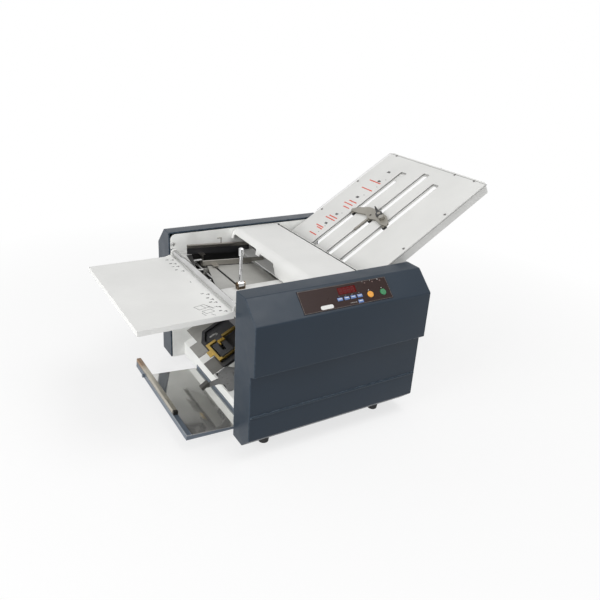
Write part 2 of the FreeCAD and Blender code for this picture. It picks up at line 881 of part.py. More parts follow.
def feed_tray():
    """Feed tray extension: a flat sheet with downturned edges, hung by two ears on the rod."""
    top = up(table_height)
    right = rod_x - rod_radius - gap
    left = right - tray_length
    parts = [box(left, right, tray_front, tray_rear, top - sheet, top),
             box(left, left + sheet, tray_front, tray_rear, top - tray_flange, top)]
    rod_z = top + rod_radius + gap
    for y in (tray_front, tray_rear - sheet):
        parts.append(box(left, right, y, y + sheet, top - tray_flange, top))
        web = right - tray_ear_run
        parts.append(slab_xz([(web, top - tray_flange), (right - 2, top - tray_flange),
                              (rod_x, rod_z), (web, top)], y, y + sheet))
        parts.append(bar_y(rod_x, rod_z, tray_ear_radius, y, y + sheet))
    shape = joined(parts)
    return shape.cut(bar_y(rod_x, rod_z, rod_radius + running, tray_front - 1, tray_rear + 1))


def on_feed_slope(points, h0, h1, radii=0.0):
    """Slab on the lift plate's slope; points are (x, y) as they lie at rest."""
    local = [((x - pivot_x) / cos(radians(table_slope)), y) for x, y in points]
    return placed(slab_xy(local, h0, h1, radii), feed_place)


def feed_pivot():
    """Axis of the lift plate, below its feed end."""
    return feed_place.multVec(Vector(0, 0, -pivot_drop))


def feed_table():
    """Grey lift plate with slanting feed edge, guide slot and two pivot ears."""
    outline = [(plate_left, plate_front), (plate_right, plate_front),
               (plate_right, plate_rear), (plate_left_rear, plate_rear)]
    plate = on_feed_slope(outline, -thin_sheet, 0.0, 2.0)
    slot = on_feed_slope([(guide_slot_x - guide_slot_width / 2, guide_slot_front),
                          (guide_slot_x + guide_slot_width / 2, guide_slot_front),
                          (guide_slot_x + guide_slot_width / 2, guide_slot_rear),
                          (guide_slot_x - guide_slot_width / 2, guide_slot_rear)], -3.0, 1.0)
    plate = plate.cut(slot)
    axis = feed_pivot()
    parts = [plate]
    ears = (plate_front + pivot_ear_insets[0], plate_rear - pivot_ear_insets[1])
    for y in ears:
        ear = placed(box(-pivot_ear, pivot_ear, y, y + 2, -pivot_drop - pivot_ear, -0.6),
                     feed_place)
        parts.append(ear)
    shape = joined(parts)
    for y in ears:
        shape = shape.cut(bar_y(axis.x, axis.z, pivot_radius + running, y - 1, y + 3))
    return shape


def fixed_rods():
    """Round steel rods and pins that span or stand on the two side frames."""
    axis = feed_pivot()
    spots = [(p.x, p.z, tie_radius) for p in tie_spots()]
    spots.append((axis.x, axis.z, pivot_radius))
    spots.append((guide_slot_x, up(guide_rod_height), guide_rod_radius))
    rods = [bar_y(x, z, radius, inner_front, inner_rear) for x, z, radius in spots]
    pin_z = up(hinge_height)
    pin_spots = ((inner_front, inner_front + hinge_pin_length),
                 (inner_rear - hinge_pin_length, inner_rear))
    for y0, y1 in pin_spots:
        rods.append(bar_y(hinge_x, pin_z, hinge_pin_radius, y0, y1))
    rods.append(bar_y(arm_pivot_x, up(arm_pivot_height), arm_pivot_radius,
                      inner_front, arm_y + arm_flange + 1))
    rods.append(gear_stud(idler_axis))
    rods.append(gear_stud(drive_axis))
    return Part.makeCompound(rods)


def plate_height_at(x):
    """Height of the lift plate's upper face at rest."""
    return feed_place.Base.z - (x - pivot_x) * tan(radians(table_slope))


def guide_rail(y, left, rise, flange):
    """Fence of a paper guide with its top flange, and a tab for its foot."""
    top = up(table_height + rise)
    right_top = top - (guide_right - left) * tan(radians(guide_slope))
    low = up(table_height) - strip_drop + sheet
    step = plate_right - guide_step
    fence = slab_xz([(left, plate_height_at(left) + guide_lift),
                     (step, plate_height_at(step) + guide_lift),
                     (step, low), (guide_right, low), (guide_right, right_top),
                     (left, top)], y, y + thin_sheet, [1.0, 0.5, 0.5, 1.0, 2.0, 1.0])
    flange_y = sorted([y, y + flange])
    strip = slab_xz([(left, top - thin_sheet), (guide_right, right_top - thin_sheet),
                     (guide_right, right_top), (left, top)], flange_y[0], flange_y[1])
    tab_low = plate_height_at(guide_slot_x + 6) + guide_lift + 1
    tab = box(guide_slot_x - 6, guide_slot_x + 6, y - 12, y + 0.5, tab_low, tab_low + sheet)
    block_y = y - 12.0
    rod_z = up(guide_rod_height)
    half = guide_rod_radius + 3
    block_end = block_y + guide_block - 4
    block = box(guide_slot_x - half, guide_slot_x + half, block_y - 4, block_end,
                rod_z - half, rod_z + half)
    block = block.cut(bar_y(guide_slot_x, rod_z, guide_rod_radius + running, block_y - 5,
                            block_end + 1))
    stem = box(guide_slot_x - 1.5, guide_slot_x + 1.5, block_y, block_y + 6,
               rod_z + half - 1, tab_low + sheet / 2)
    return [fence, strip, tab, block, stem]


def front_paper_guide():
    """Movable fence with a foot through the lift plate's slot."""
    return joined(guide_rail(front_guide_y, front_guide_left, front_guide_rise,
                             front_guide_flange))


def rear_paper_guide():
    """Rear fence with its flange and the wire hook that keeps curled sheets down."""
    parts = guide_rail(rear_guide_y, rear_guide_left, rear_guide_rise, -rear_guide_flange)
    y = rear_guide_y - 3
    low = up(table_height + rear_guide_rise)
    low -= (hook_x - rear_guide_left) * tan(radians(guide_slope))
    high = low + hook_rise
    parts.append(bar_z(hook_x, y, hook_radius, low - 1, high))
    parts.append(bar_x(y, high, hook_radius, hook_x - hook_reach, hook_x + hook_radius))
    return joined(parts)


def lever_axis():
    return Vector(lever_x, lever_y, up(table_height + lever_pivot_height))


def feed_lever():
    """Chrome lever with its hub and cap, standing on the table's front strip."""
    axis = lever_axis()
    hub = bar_x(axis.y, axis.z, lever_hub_radius, axis.x - lever_hub_width / 2,
                axis.x + lever_hub_width / 2)
    top = up(table_height + lever_height)
    rod = bar_z(axis.x, axis.y, lever_radius, axis.z + 3,
                top - lever_cap_length - lever_neck_length)
    cap = bar_z(axis.x, axis.y, lever_cap_radius, top - lever_cap_length, top)
    cap = cap.makeChamfer(1.5, [e for e in cap.Edges if e.BoundBox.ZMin > top - 1])
    neck_low = top - lever_cap_length - lever_neck_length
    neck = bar_z(axis.x, axis.y, lever_neck_radius, neck_low - 1, top - lever_cap_length + 1)
    shape = joined([hub, rod, neck, cap])
    return shape.cut(bar_x(axis.y, axis.z, lever_pin_radius + running,
                           axis.x - lever_hub_width, axis.x + lever_hub_width))


def lever_bracket():
    """U bracket and pin of the lever."""
    axis = lever_axis()
    top = up(table_height)
    inner = lever_hub_width / 2 + gap
    outer = inner + cheek_thickness
    y0 = axis.y - cheek_width / 2
    y1 = axis.y + cheek_width / 2 - 2.5
    parts = [box(axis.x - outer, axis.x + outer, y0, y1, top, top + sheet)]
    for x0, x1 in ((axis.x - outer, axis.x - inner), (axis.x + inner, axis.x + outer)):
        parts.append(slab_yz([(y0, top), (y1, top), (y1, axis.z + 3), (y1 - 3, axis.z + 6),
                              (y0 + 3, axis.z + 6), (y0, axis.z + 3)], x0, x1))
    parts.append(bar_x(axis.y, axis.z, lever_pin_radius, axis.x - outer - 1.5,
                       axis.x + outer + 1.5))
    return joined(parts)


# ================================================================ top cover
def top_cover():
    """White roller cover: bulged front with two arches for the guides, shallow ends."""
    front = inner_front + 2.0
    rear = inner_rear - 2.0
    w = top_cover_wall
    left = top_cover_left
    right = top_cover_right
    top = up(top_cover_height)
    low = up(table_height + top_cover_clearance)
    side_low = up(table_height + top_cover_side_rise)
    hinge_z = up(hinge_height)
    fold = top - top_cover_radius - 1
    points = [(left + 4, low), (left, fold), (left, top),
              (right, top), (right, hinge_z), (right - 1.5, hinge_z),
              (right - 1.5, top - w), (left + w, top - w), (left + w, fold),
              (left + 4 + w, low)]
    r = top_cover_radius
    shell = slab_xz(points, front, rear, [0.0, 0.0, r, 2.0, 0.0, 0.0, 0.0, r - w, 0.0, 0.0])
    shell = shell.cut(box(left - 1, left + r, arch_front, rear + 1,
                          low - 1, up(table_height + arch_edge_rise)))
    for y0, y1, rise in arch_spots:
        arch_top = up(table_height + rise)
        shell = shell.cut(slab_yz([(y0, low), (y1, low), (y1, arch_top), (y0, arch_top)],
                                  left - 1, left + r, [0.0, 0.0, 6.0, 6.0]))
    end_points = [(left, side_low), (left, top), (hinge_x, top),
                  (hinge_x, hinge_z), (hinge_x - 12, side_low)]
    parts = [shell]
    for y in (front, rear - w):
        parts.append(slab_xz(end_points, y, y + w, [0.0, r, 0.0, 0.0, 0.0]))
        parts.append(bar_y(hinge_x, hinge_z, hinge_boss_radius, y, y + w))
    shape = joined(parts)
    for y in (front - 1, rear - w - 1):
        shape = shape.cut(bar_y(hinge_x, hinge_z, hinge_pin_radius + running, y, y + w + 2))
    return shape


def roller_guard():
    """Sheet between the roller cover's hinge and the first fold plate."""
    top = Vector(top_cover_right + 9, 0, up(top_cover_height - 4))
    low = plate1_place.multVec(Vector(plate1_low + 3, 0, 2.5))
    along = (low - top).normalize()
    across = Vector(-along.z, 0, along.x)
    corners = [top, low, low + across * sheet, top + across * sheet]
    return slab_xz([(p.x, p.z) for p in corners], inner_front, inner_rear)


# ================================================================ first fold plate
def on_plate1(shape):
    return placed(shape, plate1_place)


def plate_slot(y, width, end, low, high):
    """Cutting tool of one slot of the first fold plate, from low to high."""
    half = width / 2
    return slab_xy([(slot_low, y - half), (end, y - half), (end, y + half),
                    (slot_low, y + half)], low, high, slot_corner)


def first_fold_plate():
    """Upper sheet with three slots, flanges, spacers and the lower sheet."""
    low, high = plate1_low, plate1_high
    front, rear = plate1_front, plate1_rear
    c = plate1_corner
    top = slab_xy([(low, front), (high, front), (high, rear), (low, rear)],
                  -sheet, 0.0, [0.0, c, c, 0.0])
    bottom_top = -sheet - paper_gap
    bottom = box(low, high - 4, front + sheet, rear - sheet, bottom_top - sheet, bottom_top)
    for y, end, lower_end in slots:
        top = top.cut(plate_slot(y, slot_width, end, -sheet - 1, 1.0))
        bottom = bottom.cut(plate_slot(y, lower_slot_width, lower_end,
                                       bottom_top - sheet - 1, bottom_top + 1))
    flange_low = low + plate1_bare
    flange = slab_xy([(flange_low, front), (high, front), (high, rear), (flange_low, rear)],
                     -plate1_depth, 0.0, [0.0, c, c, 0.0])
    flange = flange.cut(slab_xy([(flange_low - 9, front + sheet), (high - sheet, front + sheet),
                                 (high - sheet, rear - sheet), (flange_low - 9, rear - sheet)],
                                -plate1_depth - 1, 1.0, [0.0, c - sheet, c - sheet, 0.0]))
    spacers = [box(low, high - 6, front + sheet, front + 9, bottom_top, -sheet),
               box(low, high - 6, rear - 9, rear - sheet, bottom_top, -sheet)]
    return on_plate1(joined([top, bottom, flange] + spacers))


def fold_plate_rails():
    """Ledges on the side frames that carry the first fold plate."""
    shapes = []
    under = -plate1_depth - gap
    for y0, y1, wall in ((inner_front, inner_front + rail_width, inner_front),
                         (inner_rear - rail_width, inner_rear, inner_rear - sheet)):
        ledge = box(rail_low, rail_high, y0, y1, under - sheet, under)
        leg = box(rail_low, rail_high, wall, wall + sheet, under - rail_leg, under)
        shapes.append(on_plate1(joined([ledge, leg])))
    return Part.makeCompound(shapes)


def paper_stop():
    """Cast carriage with two lobes, feet through the slots and a pointer."""
    low = stop_lift
    high = stop_lift + stop_thick
    points = [(u, y) for u, y, radius in stop_outline]
    body = slab_xy(points, low, high, [radius for u, y, radius in stop_outline])
    body = body.cut(bar_z(*stop_hole, stop_hole_radius, low - 1, high + 1))
    boss = bar_z(lock_u, lock_y, lock_boss, low, high + gap + lock_thick + 1)
    knob_post = bar_z(knob_u, knob_y, knob_post_radius, low, high + knob_height - 2)
    middle = slots[1][0]
    pointer = box(pointer_low, stop_foot_low + stop_foot_length, middle + 1,
                  middle + 1 + pointer_width, low, low + pointer_thick)
    parts = [body, boss, knob_post, pointer]
    for y, end, lower_end in slots:
        foot = box(stop_foot_low, stop_foot_low + stop_foot_length, y - stop_foot_width / 2,
                   y + stop_foot_width / 2, -2 * sheet - paper_gap, low + 1)
        parts.append(foot)
    return on_plate1(joined(parts))


def stop_lock_lever():
    """Pointed clamping lever on the carriage's boss."""
    low = stop_lift + stop_thick + gap
    high = low + lock_thick
    ring = bar_z(0, 0, lock_boss + 4, low, high)
    blade = slab_xy([(0, -5), (lock_reach, -1.2), (lock_reach, 1.2), (0, 5)], low, high, 0.6)
    tip = slab_xy([(lock_reach - 7, -2.2), (lock_reach + 1, -1.2), (lock_reach + 1, 1.2),
                   (lock_reach - 7, 2.2)], low, high + lock_tip, 0.5)
    shape = joined([ring, blade, tip])
    shape = shape.cut(bar_z(0, 0, lock_boss + running, low - 1, high + 1))
    turned = Placement(Vector(lock_u, lock_y, 0), Rotation(Vector(0, 0, 1), lock_angle))
    return on_plate1(placed(shape, turned))


def stop_knob():
    """Low fluted thumb nut that trims the stop's squareness."""
    low = stop_lift + stop_thick + gap
    high = low + knob_height
    knob = bar_z(knob_u, knob_y, knob_radius, low, high)
    for i in range(knob_flutes):
        angle = 2 * pi * i / knob_flutes
        flute = bar_z(knob_u + knob_radius * cos(angle), knob_y + knob_radius * sin(angle),
                      1.0, low - 1, high + 1)
        knob = knob.cut(flute)
    return on_plate1(knob.cut(bar_z(knob_u, knob_y, knob_post_radius + running, low - 1,
                                    high - 1.5)))


# ================================================================ rollers and gears
def gear(axis, teeth, phase, bore):
    """Spur gear on the Y axis; phase is the angle of one tooth's middle in degrees."""
    pitch_radius = module * teeth / 2
    tip = pitch_radius + addendum * module
    root = pitch_radius - dedendum * module
    step = 2 * pi / teeth
    half = tooth_share * step / 2
    tip_half = half * 0.55
    root_half = half * 1.25
    points = []
    for i in range(teeth):
        middle = radians(phase) + i * step
        for radius, offset in ((root, -root_half), (tip, -tip_half), (tip, tip_half),
                               (root, root_half)):
            angle = middle + offset
            points.append((axis.x + radius * cos(angle), axis.z + radius * sin(angle)))
    wheel = slab_xz(points, gear_y, gear_y + gear_width)
    if bore > 0:
        wheel = wheel.cut(bar_y(axis.x, axis.z, bore, gear_y - 1, gear_y + gear_width + 1))
    return wheel


def meshed_phase(axis, teeth, phase, other_axis, other_teeth):
    """Phase of a second gear whose gap faces the first gear's tooth at their pitch point."""
    towards = atan2(other_axis.z - axis.z, other_axis.x - axis.x)
    step = 2 * pi / teeth
    other_step = 2 * pi / other_teeth
    tooth_part = ((towards - radians(phase)) / step) % 1.0
    back = towards + pi
    return (back - other_step * (0.5 - tooth_part)) * 180 / pi


phase_1 = 0.0
phase_2 = meshed_phase(rollers[0], gear_teeth, phase_1, rollers[1], gear_teeth)
phase_3 = meshed_phase(rollers[1], gear_teeth, phase_2, rollers[2], gear_teeth)
phase_4 = meshed_phase(rollers[2], gear_teeth, phase_3, rollers[3], gear_teeth)
phase_idler = meshed_phase(rollers[0], gear_teeth, phase_1, idler_axis, feed_idler_teeth)
phase_feed = meshed_phase(idler_axis, feed_idler_teeth, phase_idler, feed_axis, gear_teeth)
phase_drive = meshed_phase(rollers[3], gear_teeth, phase_4, drive_axis, drive_idler_teeth)
phase_motor = meshed_phase(drive_axis, drive_idler_teeth, phase_drive, motor_axis, motor_teeth)


def fold_roller(index):
    """Steel fold roller with journals; its gear sits on the rear journal."""
    axis = rollers[index]
    body = bar_y(axis.x, axis.z, roller_radius, roller_margin, cover_spacing - roller_margin)
    journal = bar_y(axis.x, axis.z, journal_radius, -2.0, gear_y + gear_width + 2)
    return joined([body, journal])


def roller_gear(index, phase):
    return gear(rollers[index], gear_teeth, phase, 0.0)


def feed_roller():
    """Feed shaft with two hubs and its gear."""
    axis = feed_axis
    shaft = bar_y(axis.x, axis.z, feed_shaft_radius, -2.0, gear_y + gear_width + 2)
    parts = [shaft]
    for y in tyre_spots:
        parts.append(bar_y(axis.x, axis.z, hub_radius, y, y + tyre_width))
    parts.append(gear(axis, gear_teeth, phase_feed, 0.0))
    return joined(parts)


def feed_tyres():
    """Soft rubber tyres that grip the top sheet."""
    shapes = []
    for y in tyre_spots:
        tyre = ring_y(feed_axis.x, feed_axis.z, hub_radius + seat_fit, feed_radius, y,
                      y + tyre_width)
        shapes.append(tyre)
    return Part.makeCompound(shapes)


def idler_gear(axis, teeth, phase):
    return gear(axis, teeth, phase, stud_radius + running)


def gear_stud(axis):
    """Fixed stud of an idler gear, with its retaining head."""
    stud = bar_y(axis.x, axis.z, stud_radius, rear_face, gear_y + gear_width + gap)
    head = bar_y(axis.x, axis.z, stud_radius + 2, gear_y + gear_width + gap,
                 gear_y + gear_width + 3)
    return joined([stud, head])


def drive_motor():
    """Motor on the inner side of the rear frame."""
    back = inner_rear - motor_length
    body = bar_y(motor_axis.x, motor_axis.z, motor_radius, back, inner_rear - 6)
    body = body.makeChamfer(3.0, [e for e in body.Edges if e.BoundBox.YMax < back + 0.01])
    flange = box(motor_axis.x - motor_radius - 3, motor_axis.x + motor_radius + 3,
                 inner_rear - 6, inner_rear, motor_axis.z - motor_radius,
                 motor_axis.z + motor_radius)
    flange = flange.makeFillet(6.0, [e for e in flange.Edges
                                     if e.BoundBox.YMax - e.BoundBox.YMin > 5])
    shape = joined([body, flange])
    return shape.cut(bar_y(motor_axis.x, motor_axis.z, motor_shaft_radius + running,
                           inner_rear - motor_shaft_reach - 5, inner_rear + 1))


def motor_pinion():
    shaft = bar_y(motor_axis.x, motor_axis.z, motor_shaft_radius,
                  inner_rear - motor_shaft_reach, gear_y + gear_width + 2)
    return joined([shaft, gear(motor_axis, motor_teeth, phase_motor, 0.0)])


def pad_seat():
    """Height of the separator pad's seat at its inner end."""
    return up(feed_height) - feed_radius - pad_gap - pad_thickness


def separator_block():
    """Holder below the feed roller, hung between the frames."""
    top = pad_seat()
    low = top - separator_post
    left = feed_x - separator_seat[0]
    right = feed_x + separator_seat[1]
    beam = box(feed_x - separator_beam[0], feed_x + separator_beam[1], inner_front,
               inner_rear, low - sheet, low)
    post = slab_xz([(left, low), (right, low), (right, top), (left, top - separator_fall)],
                   tyre_spots[0] - 4, tyre_spots[1] + tyre_width + 4)
    return joined([beam, post])


def separator_pad():
    """Rubber pad that holds back the second sheet."""
    low = pad_seat()
    high = low + pad_thickness
    left = feed_x - separator_seat[0]
    right = feed_x + separator_seat[1]
    return slab_xz([(left, low - separator_fall), (right, low), (right, high),
                    (left, high - separator_fall)], tyre_spots[0], tyre_spots[1] + tyre_width)


# ================================================================ second fold plate
def on_plate2(shape):
    return placed(shape, plate2_place)


def second_fold_plate():
    """Two sheets joined at their sides; the upper one has tongues and a window."""
    upper = slab_xy([(0.0, tongue_rear[0]), (0.0, tongue_rear[1]), (tongue, tongue_rear[1]),
                     (tongue, plate2_rear), (plate2_length, plate2_rear),
                     (plate2_length, plate2_front), (plate2_front_start, plate2_front),
                     (plate2_front_start, tongue_front[0]), (0.0, tongue_front[0]),
                     (0.0, tongue_front[1]), (tongue + 8, tongue_front[1]),
                     (tongue + 8, tongue_rear[0])], -sheet, 0.0)
    upper = upper.cut(slab_xy(plate2_window, -3.0, 1.0))
    base = -sheet - paper_gap
    lower = box(tongue + 8, plate2_length, tongue_front[0], plate2_rear, base - sheet, base)
    lower_wide = box(plate2_front_start, plate2_length, plate2_front, plate2_rear,
                     base - sheet, base)
    sides = [box(tongue + 8, plate2_length, plate2_rear - 6, plate2_rear, base, -sheet),
             box(plate2_front_start, plate2_length, plate2_front, plate2_front + 6,
                 base, -sheet)]
    return on_plate2(joined([upper, lower, lower_wide] + sides))


def stop_guide_bars():
    """Zinc-plated frame beside the second stop: two bars, two cross bars and a flat tab."""
    front = bar_spots[0]
    rear = bar_spots[1] + bar_width
    parts = [box(bar_low, bar_high, y, y + bar_width, 0.0, bar_height) for y in bar_spots]
    for along in (bar_low, bar_high - bar_end):
        parts.append(box(along, along + bar_end, front, rear, 0.0, bar_height))
    parts.append(box(bar_tab_low, bar_low + bar_end, bar_tab[0], bar_tab[1], 0.0,
                     bar_tab_thick))
    return on_plate2(joined(parts))


def second_stop():
    """Black slotted carriage on the bars, with tabs into the paper gap."""
    low = bar_height + gap
    high = low + stop2_thick
    end = stop2_low + stop2_length
    ear = stop2_low + stop2_ear
    rear = bar_spots[1] + bar_width
    plate = slab_xy([(stop2_low, stop2_front), (end, stop2_front), (end, rear), (ear, rear),
                     (ear, stop2_rear), (stop2_low, stop2_rear)], low, high,
                    [2.0, 2.0, 2.0, 2.0, 2.0, 2.0])
    slot_at = stop2_low + stop2_slot_low
    slot_end = slot_at + stop2_slot_width
    plate = plate.cut(slab_xy([(slot_at, stop2_slot[0]), (slot_end, stop2_slot[0]),
                               (slot_end, stop2_slot[1]), (slot_at, stop2_slot[1])],
                              low - 1, high + 1, stop2_slot_width / 2 - 0.5))
    strap = box(ear, end, stop2_rear - stop2_strap, stop2_rear, high, high + stop2_strap_height)
    hook = box(ear, ear + stop2_strap_height, stop2_rear - 2 * stop2_strap, stop2_rear, high,
               high + stop2_strap_height)
    rod = Part.makeCylinder(stop2_rod_radius, stop2_rear - stop2_front,
                            Vector(end, stop2_front, high - stop2_rod_radius),
                            Vector(0, 1, 0))
    parts = [plate, strap, hook, rod]
    for y in stop2_tab_spots:
        parts.append(box(stop2_low, stop2_low + 3, y, y + stop2_tab,
                         -sheet - paper_gap + gap, low + 0.5))
    return on_plate2(joined(parts))


# ================================================================ exit and delivery
def chute_line():
    """Lower end of the chute and its tangent point on the turn guide."""
    start = Vector(chute_x, 0, up(chute_height))
    centre = rollers[3]
    radius = roller_radius + turn_gap
    apart = start - centre
    distance = apart.Length
    bearing = atan2(apart.z, apart.x)
    spread = atan2(sqrt(distance * distance - radius * radius), radius)
    angle = bearing + spread
    touch = centre + Vector(cos(angle), 0, sin(angle)) * radius
    return start, touch, angle * 180 / pi


def exit_chute():
    """White chute from the last nip down to the tray, with the turn guide round roller 4."""
    start, touch, angle = chute_line()
    along = (touch - start).normalize()
    below = Vector(along.z, 0, -along.x)
    corners = [start, touch, touch + below * sheet, start + below * sheet]
    ramp = slab_xz([(p.x, p.z) for p in corners], inner_front, inner_rear)
    foot = box(chute_x, chute_x + sheet, inner_front, inner_rear, up(chute_foot),
               up(chute_height))
    centre = rollers[3]
    inner = roller_radius + turn_gap
    sweep = turn_end - angle
    place = Placement(Vector(centre.x, inner_front, centre.z), Rotation(Vector(0, 1, 0), -angle))
    place = place.multiply(Placement(Vector(0, 0, 0), Rotation(Vector(1, 0, 0), -90)))
    width = inner_rear - inner_front
    outer_sector = Part.makeCylinder(inner + sheet, width, Vector(0, 0, 0), Vector(0, 0, 1),
                                     sweep)
    inner_sector = Part.makeCylinder(inner, width, Vector(0, 0, 0), Vector(0, 0, 1), sweep)
    turn = outer_sector.cut(inner_sector)
    turn = turn.mirror(Vector(0, 0, 0), Vector(0, 1, 0))
    turn = placed(turn, place)
    return joined([ramp, foot, turn])


def exit_arm():
    """Lifting arm that holds the exit roller on the chute, with its moulded grip."""
    pivot = Vector(arm_pivot_x, 0, up(arm_pivot_height))
    points = [(x, up(height)) for x, height, radius in arm_outline]
    back = arm_y + arm_thickness
    plate = slab_xz(points, arm_y, back, [radius for x, height, radius in arm_outline])
    x0, low0, x1, low1 = arm_fold
    flange = slab_xz([(x0, up(low0)), (x1, up(low1)), (x1, up(low1) - arm_thickness),
                      (x0, up(low0) - arm_thickness)], arm_y, arm_y + arm_flange)
    boss = bar_y(pivot.x, pivot.z, arm_pivot_radius + arm_hub, arm_y - 4, arm_y + arm_flange)
    shaft = bar_y(exit_roller_x, up(exit_roller_height), exit_shaft_radius, arm_y,
                  back + exit_roller_length + 6)
    half = grip_length / 2
    reach = half - 4
    grip_rise = reach * sin(radians(grip_angle))
    grip_run = reach * cos(radians(grip_angle))
    strap = slab_xz([(strap_low[0], up(strap_low[1])), (strap_high[0], up(strap_high[1])),
                     (grip_x + grip_run, up(grip_height) + grip_rise + 2),
                     (grip_x + grip_run, up(grip_height) + grip_rise - 8)], arm_y, back)
    grip = box(-half, half, arm_y - 1.5, arm_y - 1.5 + grip_width, -grip_thickness / 2,
               grip_thickness / 2)
    grip = grip.makeFillet(grip_radius, [e for e in grip.Edges
                                         if e.BoundBox.XMax - e.BoundBox.XMin > half])
    grip = placed(grip, slope_place(grip_x, up(grip_height), grip_angle))
    shape = joined([plate, flange, boss, shaft, strap, grip])
    return shape.cut(bar_y(pivot.x, pivot.z, arm_pivot_radius + running, arm_y - 10,
                           arm_y + arm_flange + 10))


def exit_roller():
    """Grooved rubber roller that runs on the arm's shaft."""
    y0 = arm_y + arm_thickness + 2
    tube = ring_y(exit_roller_x, up(exit_roller_height), exit_shaft_radius + running,
                  exit_roller_radius, y0, y0 + exit_roller_length)
    groove = ring_y(exit_roller_x, up(exit_roller_height), exit_roller_radius - groove_depth,
                    exit_roller_radius + 1, y0 + groove_start,
                    y0 + groove_start + groove_width)
    return tube.cut(groove)


deck_place = slope_place(deck_left, up(deck_height), -deck_angle)
deck_length = (deck_right - deck_left) / cos(radians(deck_angle))


def on_deck(shape):
    return placed(shape, deck_place)


def delivery_tray():
    """Painted tray pan that hangs on the chute's foot."""
    pan = box(0.0, deck_length, deck_front, deck_rear, -liner - thin_sheet, -liner)
    rim_points = [(0.0, -deck_rim), (0.0, -liner), (deck_length, -liner),
                  (deck_length, -deck_rim * 0.5)]
    front = slab_xz(rim_points, deck_front - thin_sheet, deck_front)
    rear = slab_xz(rim_points, deck_rear, deck_rear + thin_sheet)
    left = box(0.0, thin_sheet, deck_front, deck_rear, -deck_rim, -liner)
    pan = on_deck(joined([pan, front, rear, left]))
    end = deck_place.multVec(Vector(deck_length, 0, 0))
    hanger = box(chute_x - thin_sheet, chute_x, deck_front - thin_sheet,
                 deck_rear + thin_sheet, end.z - deck_rim / 2, end.z + deck_lip)
    return joined([pan, hanger])


def tray_liner():
    """Polished stainless deck sheet."""
    return on_deck(box(0.0, deck_length - thin_sheet - gap, deck_front - thin_sheet,
                       deck_rear, -liner, 0.0))


def delivery_stop():
    """Painted angle that slides along the tray and carries the stop bar."""
    t = thin_sheet
    low = -deck_rim
    side = deck_rear + t + gap
    ledge = box(0.0, stop_bar_width, deck_front - t, stop_rear_end, gap, gap + t)
    face = box(0.0, t, side, stop_rear_end, low, gap + t)
    foot = box(0.0, deck_rim, side, stop_rear_end, low, low + t)
    head = Part.makeCylinder(thumb_radius, 4.0, Vector(-4.0, thumb_y, low / 2),
                             Vector(1, 0, 0))
    return on_deck(joined([ledge, face, foot, head]))


def stop_bar():
    """Bright rectangular bar with rounded edges on the angle's ledge."""
    low = gap + thin_sheet
    bar = box(0.0, stop_bar_width, stop_bar_front, stop_rear_end, low, low + stop_bar_height)
    long_edges = [e for e in bar.Edges if e.BoundBox.YMax - e.BoundBox.YMin > stop_bar_width]
    bar = bar.makeFillet(1.5, long_edges)
    return on_deck(bar)


# ================================================================ output
def machine():
    """Every sub-part by its node name."""
    nodes = {
        "front_side_frame": front_side_frame(),
        "rear_side_frame": rear_side_frame(),
        "shaft_bushes": shaft_bushes(),
        "base_plate": base_plate(),
        "end_panel": end_panel(),
        "power_inlet": power_inlet(),
        "switch_frame": switch_frame(),
        "power_switch": power_switch(),
        "rubber_feet": rubber_feet(),
        "front_cover": front_cover(),
        "rear_cover": rear_cover(),
        "control_panel": control_panel(),
        "display_window": display_window(),
        "indicator_lamps": indicator_lamps(),
        "start_button": round_key(*start_spot),
        "stop_button": round_key(*stop_spot),
        "infeed_rod": infeed_rod(),
        "infeed_table": infeed_table(),
        "feed_bay_shield": feed_bay_shield(),
        "feed_tray": feed_tray(),
        "feed_table": feed_table(),
        "fixed_rods": fixed_rods(),
        "front_paper_guide": front_paper_guide(),
        "rear_paper_guide": rear_paper_guide(),
        "feed_lever": feed_lever(),
        "lever_bracket": lever_bracket(),
        "top_cover": top_cover(),
        "roller_guard": roller_guard(),
        "first_fold_plate": first_fold_plate(),
        "fold_plate_rails": fold_plate_rails(),
        "paper_stop": paper_stop(),
        "stop_lock_lever": stop_lock_lever(),
        "stop_knob": stop_knob(),
        "feed_roller": feed_roller(),
        "feed_tyres": feed_tyres(),
        "feed_idler_gear": idler_gear(idler_axis, feed_idler_teeth, phase_idler),
        "drive_idler_gear": idler_gear(drive_axis, drive_idler_teeth, phase_drive),
        "drive_motor": drive_motor(),
        "motor_pinion": motor_pinion(),
        "separator_block": separator_block(),
        "separator_pad": separator_pad(),
        "second_fold_plate": second_fold_plate(),
        "stop_guide_bars": stop_guide_bars(),
        "second_stop": second_stop(),
        "exit_chute": exit_chute(),
        "exit_arm": exit_arm(),
        "exit_roller": exit_roller(),
        "delivery_tray": delivery_tray(),
        "tray_liner": tray_liner(),
        "delivery_stop": delivery_stop(),
        "stop_bar": stop_bar(),
    }
    phases = [phase_1, phase_2, phase_3, phase_4]
    for index, phase in enumerate(phases):
        roller = fold_roller(index)
        nodes["fold_roller_%d" % (index + 1)] = joined([roller, roller_gear(index, phase)])
    for index, spot in enumerate(key_spots):
        nodes["function_key_%d" % (index + 1)] = square_key(*spot)
    return nodes


def origin_shift(nodes):
    """Move from the working origin to the bottom centre of the whole machine's box."""
    whole = Part.makeCompound(list(nodes.values())).BoundBox
    return Vector(-(whole.XMin + whole.XMax) / 2, -(whole.YMin + whole.YMax) / 2,
                  -whole.ZMin)


def main():
    os.makedirs("parts", exist_ok=True)
    nodes = machine()
    shift = origin_shift(nodes)
    for name, shape in nodes.items():
        shape.translate(shift)
        shape.exportStep("parts/%s.step" % name)
        print("%-20s solids %d volume %.0f valid %s" % (name, len(shape.Solids),
                                                       shape.Volume, shape.isValid()))
    print("origin moved by", shift)


main()
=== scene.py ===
import bpy
import bmesh
from math import sin, cos, pi, radians, sqrt
from mathutils import Vector, Matrix


